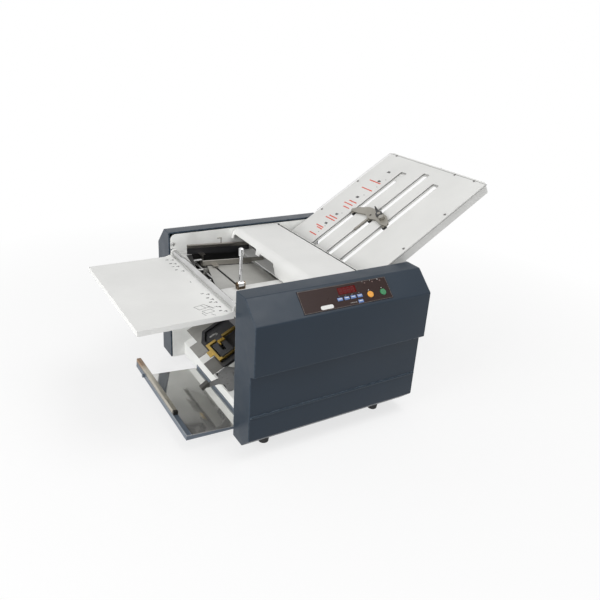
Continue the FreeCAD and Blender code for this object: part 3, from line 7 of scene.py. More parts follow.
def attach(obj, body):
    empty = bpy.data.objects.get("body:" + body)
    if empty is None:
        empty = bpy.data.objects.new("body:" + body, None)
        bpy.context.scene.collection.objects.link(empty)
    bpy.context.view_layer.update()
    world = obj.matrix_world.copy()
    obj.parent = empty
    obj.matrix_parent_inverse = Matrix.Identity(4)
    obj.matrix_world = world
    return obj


# Looks of the paper folding machine: a finish for each CAD node, the printed marks and
# small fasteners that only the looks need, and the photo's camera, floor and light.
# Places are in mm from the machine's own corner, as in the part's source.

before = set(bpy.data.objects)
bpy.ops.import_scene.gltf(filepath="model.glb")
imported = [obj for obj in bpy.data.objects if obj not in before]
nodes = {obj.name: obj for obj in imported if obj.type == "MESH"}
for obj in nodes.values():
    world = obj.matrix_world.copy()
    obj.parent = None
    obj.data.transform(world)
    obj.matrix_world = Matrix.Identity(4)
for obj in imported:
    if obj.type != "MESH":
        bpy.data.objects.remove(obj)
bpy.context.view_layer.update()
MM = 0.001                                     # in metres
CAD_ORIGIN = Vector((-212.18, -165.5, 0.0))    # the machine's own corner in the frame, mm


# ================================================================ places on the machine

class Place:
    """Flat face of the machine: a runs along it, b across it, lift stands off it, in mm."""

    def __init__(self, origin, along, across):
        self.origin = Vector(origin)
        self.along = Vector(along).normalized()
        self.across = Vector(across).normalized()
        self.normal = self.along.cross(self.across)

    def at(self, a, b, lift=0.0):
        """Point of the frame, in metres."""
        point = self.origin + self.along * a + self.across * b + self.normal * lift
        return (point + CAD_ORIGIN) * MM

    def raised(self, lift):
        """The same face, further out."""
        return Place(self.origin + self.normal * lift, self.along, self.across)


PLATE1_ANGLE = radians(31.7)                   # of the first fold plate
PLATE1_FOOT = (324.0, 0.0, 312.15)
PLATE1_LENGTH = 309.0
PLATE2_ANGLE = radians(27.5)                   # of the second fold plate
PLATE2_FOOT = (6.114, 0.0, 95.278)
SLOPE_FOOT = (0.0, -78.0, 289.0)               # lower edge of the sloping control face
SLOPE_RUN = 42.0
SLOPE_RISE = 38.0
TABLE_TOP = 279.0                              # top of the feed table, over the desk
REAR_FRAME_FACE = 337.0                        # inner face of the rear frame
END_PANEL_FACE = 384.0                         # outer face of the end panel
CLEAR_WIDTH = 340.0                            # between the covers, as wide as the plates

plate1 = Place(PLATE1_FOOT, (cos(PLATE1_ANGLE), 0, sin(PLATE1_ANGLE)), (0, 1, 0))
plate1_end = Place(plate1.origin + plate1.along * PLATE1_LENGTH, (0, 1, 0), plate1.normal)
plate2 = Place(PLATE2_FOOT, (cos(PLATE2_ANGLE), 0, sin(PLATE2_ANGLE)), (0, 1, 0))
slope = Place(SLOPE_FOOT, (1, 0, 0), (0, SLOPE_RUN, SLOPE_RISE))
table = Place((0.0, 0.0, TABLE_TOP), (1, 0, 0), (0, 1, 0))
rear_wall = Place((0.0, REAR_FRAME_FACE, 0.0), (1, 0, 0), (0, 0, 1))
end_wall = Place((END_PANEL_FACE, 0.0, 0.0), (0, 1, 0), (0, 0, 1))


# ================================================================ shader helpers

NOISE_LOW = 0.3            # nearly all values of a noise lie between these two
NOISE_HIGH = 0.7
EDGE_SAMPLES = 4
EDGE_START = 0.01          # bend of the surface from which an edge counts
EDGE_FULL = 0.12           # and at which it counts in full
CLOUD_SCALE = 22.0         # faint clouds on bare sheet, per metre
COAT_DEPTH = 0.0004        # relief of paint and mouldings, in metres
GRAIN_DEPTH = 0.0003       # relief of metal and rubber


class Nodes:
    """Short way to add and link the nodes of one tree."""

    def __init__(self, tree):
        self.tree = tree
        tree.nodes.clear()

    def node(self, kind, **settings):
        """New node with its settings."""
        made = self.tree.nodes.new(kind)
        for key, value in settings.items():
            setattr(made, key, value)
        return made

    def feed(self, socket, value):
        """Sets a socket to a number or a colour, or links another socket to it."""
        if isinstance(value, float):
            socket.default_value = value
        elif isinstance(value, tuple):
            socket.default_value = (*value, 1.0)
        else:
            self.tree.links.new(value, socket)

    def math(self, operation, first, second):
        """One sum over two numbers or sockets."""
        made = self.node("ShaderNodeMath", operation=operation)
        self.feed(made.inputs[0], first)
        self.feed(made.inputs[1], second)
        return made.outputs[0]

    def span(self, value, low, high, start=NOISE_LOW, end=NOISE_HIGH):
        """Value mapped from start..end onto low..high."""
        made = self.node("ShaderNodeMapRange")
        for name, limit in (("From Min", start), ("From Max", end), ("To Min", low),
                            ("To Max", high)):
            made.inputs[name].default_value = limit
        self.feed(made.inputs["Value"], value)
        return made.outputs[0]

    def over(self, value, limit):
        """1 where the value is over the limit."""
        return self.math("GREATER_THAN", value, limit)

    def under(self, value, limit):
        """1 where the value is under the limit."""
        return self.math("LESS_THAN", value, limit)

    def chain(self, operation, factors):
        """The factors joined by one operation, from the first to the last."""
        total = factors[0]
        for factor in factors[1:]:
            total = self.math(operation, total, factor)
        return total

    def all_of(self, *factors):
        """1 where every factor is 1."""
        return self.chain("MULTIPLY", factors)

    def any_of(self, *factors):
        """1 where one factor or more is 1."""
        return self.chain("MAXIMUM", factors)


class Shader(Nodes):
    """Node material round one Principled BSDF."""

    def __init__(self, name):
        self.material = bpy.data.materials.new(name)
        self.material.use_nodes = True
        super().__init__(self.material.node_tree)
        out = self.node("ShaderNodeOutputMaterial")
        self.bsdf = self.node("ShaderNodeBsdfPrincipled")
        self.feed(out.inputs[0], self.bsdf.outputs[0])
        self.coords = self.node("ShaderNodeTexCoord").outputs["Object"]

    def surface(self, values):
        """Inputs of the BSDF by name, each a number, a colour or a socket."""
        for name, value in values.items():
            self.feed(self.bsdf.inputs[name], value)

    def noise(self, scale, detail=3.0, stretch=(1.0, 1.0, 1.0)):
        """Noise over the frame's coordinates; scale is per metre, and an axis with a small
        stretch has its grain drawn out along it."""
        mapping = self.node("ShaderNodeMapping")
        mapping.inputs["Scale"].default_value = stretch
        self.feed(mapping.inputs["Vector"], self.coords)
        made = self.node("ShaderNodeTexNoise")
        self.feed(made.inputs["Scale"], scale)
        self.feed(made.inputs["Detail"], detail)
        self.feed(made.inputs["Vector"], mapping.outputs[0])
        return made.outputs["Fac"]

    def cloud(self, scale, detail=3.0):
        """Noise spread over 0 to 1."""
        return self.span(self.noise(scale, detail), 0.0, 1.0)

    def mix(self, factor, first, second):
        """Colour mix, first where factor is 0 and second where it is 1."""
        made = self.node("ShaderNodeMix", data_type="RGBA")
        for number, value in ((0, factor), (6, first), (7, second)):    # colour sockets
            self.feed(made.inputs[number], value)
        return made.outputs[2]

    def blend(self, factor, first, second):
        """Number mix, first where factor is 0 and second where it is 1."""
        if first == second:
            return first
        made = self.node("ShaderNodeMix", data_type="FLOAT")
        for number, value in ((0, factor), (2, first), (3, second)):    # number sockets
            self.feed(made.inputs[number], value)
        return made.outputs[0]

    def dot(self, first, second):
        """Dot product of a socket with a socket or a fixed vector."""
        made = self.node("ShaderNodeVectorMath", operation="DOT_PRODUCT")
        self.feed(made.inputs[0], first)
        if isinstance(second, Vector):
            made.inputs[1].default_value = second
        else:
            self.feed(made.inputs[1], second)
        return made.outputs["Value"]

    def reach(self, place, direction):
        """Distance in mm of the shaded point from a place, along one of its directions."""
        start = (place.origin + CAD_ORIGIN) * MM
        return self.math("SUBTRACT", self.dot(self.coords, direction / MM),
                         start.dot(direction) / MM)

    def edges(self, radius):
        """1 along convex and concave edges, 0 on flat stretches."""
        bevel = self.node("ShaderNodeBevel", samples=EDGE_SAMPLES)
        bevel.inputs["Radius"].default_value = radius
        flat = self.node("ShaderNodeNewGeometry").outputs["Normal"]
        bend = self.math("SUBTRACT", 1.0, self.dot(bevel.outputs[0], flat))
        return self.span(bend, 0.0, 1.0, EDGE_START, EDGE_FULL)

    def bump(self, height, strength, distance=GRAIN_DEPTH):
        """Relief of the surface from a height."""
        made = self.node("ShaderNodeBump")
        for name, value in (("Strength", strength), ("Distance", distance),
                            ("Height", height)):
            self.feed(made.inputs[name], value)
        self.feed(self.bsdf.inputs["Normal"], made.outputs[0])


def shade(color, factor):
    """Lighter or darker colour."""
    return tuple(min(1.0, channel * factor) for channel in color)


def painted(name, color, rough=0.4, grain=900.0, relief=0.05, wear_and_highlight=None, coat=0.0,
            gloss=0.5, rub_and_highlight_width=0.0012):
    """Powder coat or moulded plastic: fine grain, faint soiling and worn edges; on the covers
    the edges are wider and lighter, partly wear and partly painted highlight.
    """
    shader = Shader(name)
    soiling = shader.cloud(9.0)
    base = shader.mix(soiling, shade(color, 0.94), shade(color, 1.03))
    if wear_and_highlight:
        patches = shader.span(shader.noise(160.0), 0.0, 0.55)
        base = shader.mix(shader.all_of(shader.edges(rub_and_highlight_width), patches), base, wear_and_highlight)
    shader.surface({
        "Base Color": base,
        "Roughness": shader.span(shader.noise(35.0), rough * 0.88, rough * 1.12),
        "Specular IOR Level": gloss,
    })
    if coat:
        shader.surface({"Coat Weight": coat, "Coat Roughness": 0.15})
    shader.bump(shader.noise(grain, 2.0), relief, COAT_DEPTH)
    return shader.material


def metal(name, color, rough=0.3, brushed=(1.0, 1.0, 1.0), grain=400.0, relief=0.03,
          tarnish=None, purity=1.0):
    """Bare metal with brushed or blasted grain and a little tarnish."""
    shader = Shader(name)
    lines = shader.noise(grain, 4.0, brushed)
    cloud = shader.cloud(CLOUD_SCALE)
    base = shader.mix(cloud, shade(color, 0.9), shade(color, 1.05))
    if tarnish:
        stains = shader.span(shader.noise(60.0), 0.0, 0.6)
        base = shader.mix(stains, base, tarnish)
    shader.surface({
        "Base Color": base,
        "Metallic": purity,
        "Roughness": shader.span(lines, rough * 0.8, rough * 1.25),
    })
    shader.bump(lines, relief)
    return shader.material


def two_tones(name, where, first, second, grain=700.0):
    """One sheet in two tones, each (colour, metallic, roughness); where makes the mask; on some
    sheets the second tone is another finish, on others painted shade.
    """
    shader = Shader(name)
    mask = where(shader)
    lines = shader.noise(grain, 4.0, ROLLED)
    cloud = shader.cloud(CLOUD_SCALE)
    tones = [shader.mix(cloud, shade(color, 0.88), shade(color, 1.06))
             for color in (first[0], second[0])]
    rough = shader.blend(mask, first[2], second[2])
    shader.surface({
        "Base Color": shader.mix(mask, *tones),
        "Metallic": shader.blend(mask, first[1], second[1]),
        "Roughness": shader.math("MULTIPLY", rough, shader.span(lines, 0.8, 1.2)),
    })
    shader.bump(lines, 0.05)
    return shader.material


def rubbery(name, color, rough=0.75):
    """Dull rubber with a coarse grain."""
    shader = Shader(name)
    shader.surface({
        "Base Color": shader.mix(shader.cloud(45.0), shade(color, 0.8), shade(color, 1.2)),
        "Roughness": shader.span(shader.noise(120.0), rough * 0.9, rough * 1.1),
    })
    shader.bump(shader.noise(1800.0, 2.0), 0.25)
    return shader.material


def clear_plastic(name, color, rough=0.12, coat=0.6, gloss=0.5):
    """Glossy tinted plastic."""
    shader = Shader(name)
    shader.surface({
        "Base Color": shader.mix(shader.cloud(80.0), shade(color, 0.85), color),
        "Roughness": shader.span(shader.noise(300.0), rough * 0.8, rough * 1.3),
        "Specular IOR Level": gloss,
        "Coat Weight": coat,
        "Coat Roughness": 0.08,
    })
    return shader.material


def printed(name, color):
    """Screen-printed ink with slightly uneven cover."""
    shader = Shader(name)
    patchy = shader.cloud(1500.0, 2.0)
    shader.surface({
        "Base Color": shader.mix(patchy, shade(color, 0.8), shade(color, 1.15)),
        "Roughness": shader.span(shader.noise(600.0), 0.35, 0.5),
    })
    return shader.material


# ================================================================ finishes

WHITE = (0.745, 0.745, 0.728)
INNER_WHITE = (0.86, 0.865, 0.845)     # of the frames, which get less light: the same white painted lighter, as painted light
DULL_STEEL = (0.36, 0.355, 0.335)
BLACK = (0.022, 0.022, 0.024)
ROLLED = (0.3, 1.0, 1.0)   # grain of rolled sheet, drawn out along the machine
TURNED = (1.0, 0.06, 1.0)  # grain of turned shafts, drawn out across the machine

PLATE2_UNDERSIDE = -5.9    # on the second plate, in mm: lower than this is its underside
FRONT_START = 29.0         # the front half's black coat begins here along the plate
FRONT_END = 161.0          # and ends here across it, as the near tongue does
RIM_START = 25.0           # the rear rim's coat begins here along the plate
RIM_CORNER = 227.0         # and from here its edge slants
RIM_SLANT = 0.54
RIM_END = 262.0


def fold_plate_two(name):
    """Second fold plate: steel tongues, the near one darker as painted shade, black front half
    and sides, and an underside lightened to pale grey as painted light.
    """
    shader = Shader(name)
    along = shader.reach(plate2, plate2.along)
    across = shader.reach(plate2, plate2.across)
    height = shader.reach(plate2, plate2.normal)
    on_top = shader.over(height, PLATE2_UNDERSIDE)
    underside = shader.under(height, PLATE2_UNDERSIDE)
    near = shader.under(across, FRONT_END)
    front = shader.all_of(near, shader.over(along, FRONT_START), on_top)
    slant = shader.math("MULTIPLY", shader.math("SUBTRACT", across, RIM_CORNER), RIM_SLANT)
    rim_edge = shader.math("ADD", shader.math("MAXIMUM", slant, 0.0), RIM_START)
    rim = shader.all_of(shader.over(along, rim_edge), shader.under(across, RIM_END), on_top)
    coat = shader.any_of(front, rim)
    cloud = shader.cloud(CLOUD_SCALE)
    far_steel = shader.mix(cloud, shade(DULL_STEEL, 0.85), shade(DULL_STEEL, 1.08))
    # the near tongue is the same steel, painted darker as painted shade
    shaded_near_steel = shader.mix(cloud, shade(DULL_STEEL, 0.45), shade(DULL_STEEL, 0.62))
    steel_tone = shader.mix(near, far_steel, shaded_near_steel)
    coat_tone = shader.mix(cloud, shade(BLACK, 0.8), shade(BLACK, 1.2))
    top_tone = shader.mix(coat, steel_tone, coat_tone)
    lines = shader.noise(700.0, 4.0, ROLLED)
    # the underside's pale grey is painted light, lighter than its dim lighting gives, for its
    # reflection in the tray
    shader.surface({
        "Base Color": shader.mix(underside, top_tone, (0.55, 0.55, 0.53)),
        "Metallic": shader.math("SUBTRACT", 1.0, shader.any_of(coat, underside)),
        "Roughness": shader.span(lines, 0.40, 0.56),
    })
    shader.bump(lines, 0.05)
    return shader.material


BROWN_START = 262.0        # the delivery stop's bar carries a painted brown reflection from here
BROWN_FULL = 292.0         # to here
DARK_END = 94.0            # and is dark on the near side of this


def stop_bar_finish(name):
    """Bar of the delivery stop: worn beige metal, a painted brown reflection at its far end,
    dark at the near.
    """
    shader = Shader(name)
    across = shader.reach(table, table.across)
    lines = shader.noise(700.0, 4.0, (1.0, 0.08, 1.0))
    beige = shader.mix(shader.cloud(30.0), (0.40, 0.37, 0.31), (0.52, 0.49, 0.42))
    # the brown at the far end is a painted reflection
    brown = shader.mix(shader.cloud(90.0), (0.22, 0.12, 0.06), (0.33, 0.22, 0.13))
    brown_reflection = shader.span(across, 0.0, 1.0, BROWN_START, BROWN_FULL)
    base = shader.mix(brown_reflection, beige, brown)
    base = shader.mix(shader.under(across, DARK_END), base, (0.05, 0.045, 0.04))
    shader.surface({
        "Base Color": base,
        "Metallic": shader.span(across, 0.85, 0.25, BROWN_START, BROWN_FULL),
        "Roughness": shader.span(lines, 0.26, 0.42),
    })
    shader.bump(lines, 0.04)
    return shader.material


STRAP_LIFT = 8.45          # the zinc strap starts this far off the second plate
FENCE_FACE = 318.4         # inner face of the rear paper guide's fence
FENCE_RIM = 17.0           # height above the table at which its bare rim starts
FENCE_FALL = 0.0647        # and by which the rim falls along the fence
LIFT_BACK = 246.0          # the lift plate carries painted shade behind this
FIELD_FRONT = 246.0        # painted shade on the deck, a black field, from front to rear
FIELD_REAR = 317.5
FIELD_LEFT = -19.0         # its left edge, which slants,
FIELD_SLANT = -0.16
FIELD_RIGHT = 176.0        # and its right one
FIELD_DEPTH = -1.8         # the deck's sheet ends this far below its top
BAY_TOP = -1.6             # painted shade on the wall of the feed bay, from the table's top
BAY_BOTTOM = -50.0
BAY_LEFT = 34.0
BAY_RIGHT = 178.0
STOP_FEET_TOP = 0.6        # the first stop's feet reach this far above its plate
GRIP_END = -9.5            # the exit arm's dark grip ends here


def on_stop_strap(shader):
    """Zinc strap over the carriage of the second stop."""
    return shader.over(shader.reach(plate2, plate2.normal), STRAP_LIFT)


def on_guide_fence(shader):
    """Dark lower part of the rear fence; its rim and flange stay bare."""
    fall = shader.math("MULTIPLY", shader.reach(table, table.along), FENCE_FALL)
    level = shader.math("ADD", shader.reach(table, table.normal), fall)
    return shader.all_of(shader.over(shader.reach(table, table.across), FENCE_FACE),
                       shader.under(level, FENCE_RIM))


def on_lift_shade(shader):
    """Painted shade: dark strip at the rear of the lift plate."""
    return shader.over(shader.reach(table, table.across), LIFT_BACK)


def on_deck_shade(shader):
    """Painted shade: black field of the deck behind the movable guide."""
    along = shader.reach(table, table.along)
    across = shader.reach(table, table.across)
    slanted = shader.math("ADD", along, shader.math("MULTIPLY", across, FIELD_SLANT))
    return shader.all_of(shader.over(across, FIELD_FRONT), shader.under(across, FIELD_REAR),
                       shader.over(slanted, FIELD_LEFT), shader.under(along, FIELD_RIGHT),
                       shader.over(shader.reach(table, table.normal), FIELD_DEPTH))


def on_bay_shade(shader):
    """Painted shade: black on the inner face of the rear frame, below the deck of the feed bay.
    """
    along = shader.reach(table, table.along)
    height = shader.reach(table, table.normal)
    return shader.all_of(shader.under(height, BAY_TOP), shader.over(height, BAY_BOTTOM),
                       shader.over(along, BAY_LEFT), shader.under(along, BAY_RIGHT))


def on_stop_feet(shader):
    """Dark feet of the first stop, in the slots of its plate."""
    return shader.under(shader.reach(plate1, plate1.normal), STOP_FEET_TOP)


def on_arm_grip(shader):
    """Dark grip at the free end of the exit arm."""
    return shader.under(shader.reach(table, table.along), GRIP_END)


white = painted("white_coat", WHITE, 0.40, 1100.0, 0.06, (0.6, 0.59, 0.57))
# white_inner and frame_white use INNER_WHITE, painted lighter as painted light
white_inner = painted("white_frame", INNER_WHITE, 0.45, 1100.0, 0.06)
# frame_white's black tone is painted shade on the feed bay's wall
frame_white = two_tones("frame_white", on_bay_shade, (INNER_WHITE, 0.0, 0.45),
                           ((0.03, 0.03, 0.029), 0.0, 0.6))
plate_white = painted("plate_white", (0.66, 0.66, 0.643), 0.32, 1100.0, 0.04,
                      (0.5, 0.5, 0.48), coat=0.1)
# the covers' wide light edges are partly wear and partly painted highlight
cover_skin = painted("cover_plastic", (0.016, 0.028, 0.044), 0.36, 1500.0, 0.14,
                     (0.24, 0.31, 0.38), gloss=0.27, rub_and_highlight_width=0.0022)
black = painted("black_paint", BLACK, 0.45, 1000.0, 0.1, (0.09, 0.09, 0.09))
black_moulded = painted("black_plastic", (0.03, 0.03, 0.031), 0.5, 1600.0, 0.16,
                        (0.07, 0.07, 0.07))
panel_film = painted("panel_film", (0.036, 0.021, 0.019), 0.3, 2200.0, 0.05, gloss=0.1)
# the deck's black field is painted shade of the dark bay behind the guide
deck_white = two_tones("deck_white", on_deck_shade, (WHITE, 0.0, 0.4),
                          ((0.028, 0.028, 0.027), 0.0, 0.5))
# the lift plate's dark rear strip is painted shade
lift_paint = two_tones("lift_paint", on_lift_shade, ((0.40, 0.395, 0.37), 0.0, 0.34),
                          ((0.035, 0.034, 0.033), 0.0, 0.6))
guide_paint = metal("guide_metal", (0.44, 0.42, 0.385), 0.36, (0.15, 1.0, 1.0), 900.0)
fence_finish = two_tones("rear_fence", on_guide_fence, ((0.36, 0.34, 0.31), 1.0, 0.38),
                            (BLACK, 0.0, 0.45))
tray_paint = painted("tray_paint", (0.105, 0.13, 0.165), 0.38, 1000.0, 0.06,
                     (0.3, 0.32, 0.34))
satin_rod = metal("satin_rod", (0.57, 0.57, 0.565), 0.13, (1.0, 0.05, 1.0), 700.0, 0.006)
steel = metal("turned_steel", (0.55, 0.55, 0.54), 0.26, TURNED, 700.0)
plate_steel = fold_plate_two("fold_plate_steel")
roller_steel = metal("roller_steel", (0.42, 0.42, 0.43), 0.42, grain=1500.0, relief=0.3)
chrome = metal("chrome", (0.66, 0.66, 0.67), 0.09, (1.0, 1.0, 0.1), 300.0, 0.01)
bar_metal = stop_bar_finish("bar_metal")
mirror = metal("mirror_sheet", (0.7, 0.7, 0.68), 0.08, (0.1, 1.0, 1.0), 500.0, 0.004,
               purity=0.78)
bronze = metal("bronze", (0.20, 0.15, 0.10), 0.42, tarnish=(0.09, 0.07, 0.05))
yellow_zinc = metal("yellow_zinc", (0.72, 0.50, 0.12), 0.36, (0.2, 1.0, 1.0), 700.0,
                    tarnish=(0.42, 0.30, 0.14))
carriage = two_tones("carriage", on_stop_strap, ((0.035, 0.035, 0.037), 0.0, 0.42),
                        ((0.66, 0.42, 0.08), 1.0, 0.36))
cast = two_tones("cast_metal", on_stop_feet, ((0.34, 0.325, 0.29), 1.0, 0.40),
                    ((0.014, 0.014, 0.014), 0.0, 0.6), 1300.0)
cast_knob = metal("cast_knob", (0.42, 0.405, 0.37), 0.40, relief=0.35, grain=1300.0,
                  tarnish=(0.25, 0.24, 0.22))
arm_finish = two_tones("arm_metal", on_arm_grip, ((0.26, 0.26, 0.265), 1.0, 0.32),
                          ((0.05, 0.047, 0.043), 0.0, 0.38))
rubber = rubbery("rubber", (0.030, 0.030, 0.031))
tyre = rubbery("tyre_rubber", (0.10, 0.095, 0.09), 0.85)
acetal = painted("gear_plastic", (0.72, 0.71, 0.66), 0.5, 800.0, 0.05)
galvanised = metal("galvanised", (0.52, 0.53, 0.54), 0.4, relief=0.1, grain=250.0)
orange_cap = clear_plastic("orange_cap", (0.80, 0.34, 0.022), 0.2)
green_cap = clear_plastic("green_cap", (0.012, 0.20, 0.065), 0.2)
blue_cap = painted("blue_cap", (0.10, 0.18, 0.42), 0.4, 1500.0, 0.05, (0.5, 0.55, 0.62))
red_window = clear_plastic("red_window", (0.12, 0.002, 0.002), 0.26, 0.0, 0.05)
lamp_lens = clear_plastic("lamp_lens", (0.13, 0.075, 0.065), 0.15)
ink_black = printed("ink_black", (0.03, 0.03, 0.032))
ink_red = printed("ink_red", (0.60, 0.06, 0.025))
ink_seam = printed("seam_shadow", (0.09, 0.088, 0.082))
ink_white = printed("ink_white", (0.72, 0.72, 0.70))
ink_grey = printed("ink_grey", (0.17, 0.16, 0.15))
ink_dim = printed("unlit_digit", (0.055, 0.004, 0.004))
screw_steel = metal("screw_steel", (0.50, 0.50, 0.49), 0.3)
clip_steel = metal("clip_steel", (0.62, 0.62, 0.60), 0.3)
screw_dark = metal("screw_dark", (0.20, 0.195, 0.19), 0.35)
screw_black = painted("screw_black", (0.03, 0.03, 0.03), 0.4)

FINISH = {
    "front_side_frame": white_inner, "rear_side_frame": frame_white, "shaft_bushes": bronze,
    "base_plate": galvanised, "end_panel": white_inner, "power_inlet": black_moulded,
    "switch_frame": black_moulded, "power_switch": black_moulded, "rubber_feet": rubber,
    "front_cover": cover_skin, "rear_cover": cover_skin, "control_panel": panel_film,
    "display_window": red_window, "indicator_lamps": lamp_lens, "start_button": green_cap,
    "stop_button": orange_cap, "infeed_rod": satin_rod, "infeed_table": deck_white,
    # feed_bay_shield is black paint that also stands in as painted shade for the dark bay under
    # the feed table
    "feed_bay_shield": black, "feed_tray": white, "feed_table": lift_paint,
    "fixed_rods": steel, "front_paper_guide": guide_paint,
    "rear_paper_guide": fence_finish, "feed_lever": chrome, "lever_bracket": bronze,
    "top_cover": white, "roller_guard": white, "first_fold_plate": plate_white,
    "fold_plate_rails": galvanised, "paper_stop": cast, "stop_lock_lever": black_moulded,
    "stop_knob": cast_knob, "feed_roller": steel, "feed_tyres": tyre,
    "feed_idler_gear": acetal, "drive_idler_gear": acetal, "drive_motor": black,
    "motor_pinion": steel, "separator_block": black_moulded, "separator_pad": tyre,
    "second_fold_plate": plate_steel, "stop_guide_bars": yellow_zinc,
    "second_stop": carriage, "exit_chute": white_inner, "exit_arm": arm_finish,
    "exit_roller": rubber, "delivery_tray": tray_paint, "tray_liner": mirror,
    "delivery_stop": tray_paint, "stop_bar": bar_metal,
}
FOLD_ROLLERS = 4
FUNCTION_KEYS = 5
for number in range(1, FOLD_ROLLERS + 1):
    FINISH["fold_roller_%d" % number] = roller_steel
for number in range(1, FUNCTION_KEYS + 1):
    FINISH["function_key_%d" % number] = blue_cap

EDGE_RADIUS = 0.3          # of an edge, in mm, where SOFT_EDGES doesn't say more
SOFT_EDGES = {"front_cover": 1.2, "rear_cover": 1.2, "rubber_feet": 1.2}
EDGE_ANGLE = 32            # faces that meet at more than this, in degrees, get an edge
WELD_REACH = 0.01          # points nearer to each other than this are one, in mm


def round_edges(piece, radius, angle):
    """Rounding of a piece's sharp edges, in mm and degrees."""
    bevel = piece.modifiers.new("bevel", "BEVEL")
    bevel.width = radius * MM
    bevel.segments = 2
    bevel.limit_method = "ANGLE"
    bevel.angle_limit = radians(angle)
    return bevel


def soften(piece, radius):
    """Rounded edges as bent sheet and mouldings have, and smooth round faces."""
    piece.data.polygons.foreach_set("use_smooth", [True] * len(piece.data.polygons))
    if "custom_normal" in piece.data.attributes:
        piece.data.attributes.remove(piece.data.attributes["custom_normal"])
    weld = piece.modifiers.new("weld", "WELD")
    weld.merge_threshold = WELD_REACH * MM
    round_edges(piece, radius, EDGE_ANGLE).harden_normals = True


for name, piece in nodes.items():
    piece.data.materials.clear()
    piece.data.materials.append(FINISH[name])
    soften(piece, SOFT_EDGES.get(name, EDGE_RADIUS))


# ================================================================ pieces of the looks alone

def link_object(name, data):
    """New object of the scene."""
    made = bpy.data.objects.new(name, data)
    bpy.context.scene.collection.objects.link(made)
    return made


def neighbours(ring):
    """Each item of a closed ring with the one that follows it."""
    return zip(ring, ring[1:] + ring[:1])


def join_rings(mesh, low, high):
    """Closed band of faces between two rings of vertices."""
    for low_pair, high_pair in zip(neighbours(low), neighbours(high)):
        mesh.faces.new((*low_pair, *reversed(high_pair)))


def add_piece(name, mesh, material, body, smooth=False):
    """Piece from a bmesh, riding on a body of the machine."""
    bmesh.ops.recalc_face_normals(mesh, faces=mesh.faces)
    data = bpy.data.meshes.new(name)
    mesh.to_mesh(data)
    mesh.free()
    data.materials.append(material)
    data.polygons.foreach_set("use_smooth", [smooth] * len(data.polygons))
    piece = link_object(name, data)
    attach(piece, body)
    return piece


# ================================================================ printed marks

PRINT_LIFT = 0.06          # the ink stands this far off its face
PRINT_DEPTH = 0.1          # and each stroke is this thick
GLYPHS = {                 # each sign's strokes, in a field 1 wide and 2 high
    "0": [[(0, 0), (1, 0), (1, 2), (0, 2), (0, 0)]],
    "1": [[(0.2, 1.6), (0.6, 2), (0.6, 0)]],
    "2": [[(0, 2), (1, 2), (1, 1), (0, 1), (0, 0), (1, 0)]],
    "3": [[(0, 2), (1, 2), (1, 0), (0, 0)], [(0.2, 1), (1, 1)]],
    "4": [[(0, 2), (0, 1), (1, 1)], [(1, 2), (1, 0)]],
    "5": [[(1, 2), (0, 2), (0, 1), (1, 1), (1, 0), (0, 0)]],
    "6": [[(1, 2), (0, 2), (0, 0), (1, 0), (1, 1), (0, 1)]],
    "7": [[(0, 2), (1, 2), (0.5, 0)]],
    "8": [[(0, 0), (1, 0), (1, 2), (0, 2), (0, 0)], [(0, 1), (1, 1)]],
    "9": [[(1, 1), (0, 1), (0, 2), (1, 2), (1, 0), (0, 0)]],
    "+": [[(0, 1), (1, 1)], [(0.5, 1.5), (0.5, 0.5)]],
    "-": [[(0, 1), (1, 1)]],
    "o": [[(0, 0.5), (1, 0.5), (1, 1.5), (0, 1.5), (0, 0.5)]],
    "^": [[(0, 0.4), (0.5, 1.6), (1, 0.4), (0, 0.4)]],
    "|": [[(0.5, 0.3), (0.5, 1.7)]],
}
GLYPH_STEP = 1.5           # from one sign to the next


def lettering(text, a, b, height, sideways=False):
    """Stroke paths of digits and plain signs; sideways ones read from the feed end."""
    unit = height / 2
    paths = []
    for index, sign in enumerate(text):
        for path in GLYPHS[sign]:
            spots = []
            for x, y in path:
                right = (index * GLYPH_STEP + x) * unit
                up = y * unit
                spots.append((a + up, b - right) if sideways else (a + right, b + up))
            paths.append(spots)
    return paths


def raise_patch(mesh, place, outline, lift=PRINT_LIFT):
    """Closed low prism over an outline of a face."""
    low = [mesh.verts.new(place.at(a, b, lift - PRINT_DEPTH)) for a, b in outline]
    high = [mesh.verts.new(place.at(a, b, lift)) for a, b in outline]
    mesh.faces.new(high)
    mesh.faces.new(low[::-1])
    join_rings(mesh, low, high)


def draw(name, place, paths, material, body, *, width,
         lift=PRINT_LIFT):
    """Strokes of one width along the paths of a face, each half a width past its ends."""
    mesh = bmesh.new()
    for path in paths:
        for (a0, b0), (a1, b1) in zip(path, path[1:]):
            step = Vector((a1 - a0, b1 - b0)).normalized() * (width / 2)
            outline = [(a0 - step.x + step.y, b0 - step.y - step.x),
                       (a1 + step.x + step.y, b1 + step.y - step.x),
                       (a1 + step.x - step.y, b1 + step.y + step.x),
                       (a0 - step.x - step.y, b0 - step.y + step.x)]
            raise_patch(mesh, place, outline, lift)
    return add_piece(name, mesh, material, body)


ARC_STEPS = 6              # of a quarter circle


def rounded_patch(name, place, a, b, width, height, radius, material, body, slot):
    """Printed patch with rounded ends."""
    left, right = a + radius, a + width - radius
    low, high = b + radius, b + height - radius
    centres = ((right, high), (left, high), (left, low), (right, low))
    outline = []
    for quarter, (x, y) in enumerate(centres):
        for i in range(ARC_STEPS + 1):
            angle = (quarter + i / ARC_STEPS) * pi / 2
            outline.append((x + radius * cos(angle), y + radius * sin(angle)))
    mesh = bmesh.new()
    raise_patch(mesh, place, outline)
    return add_piece(name, mesh, material, body)


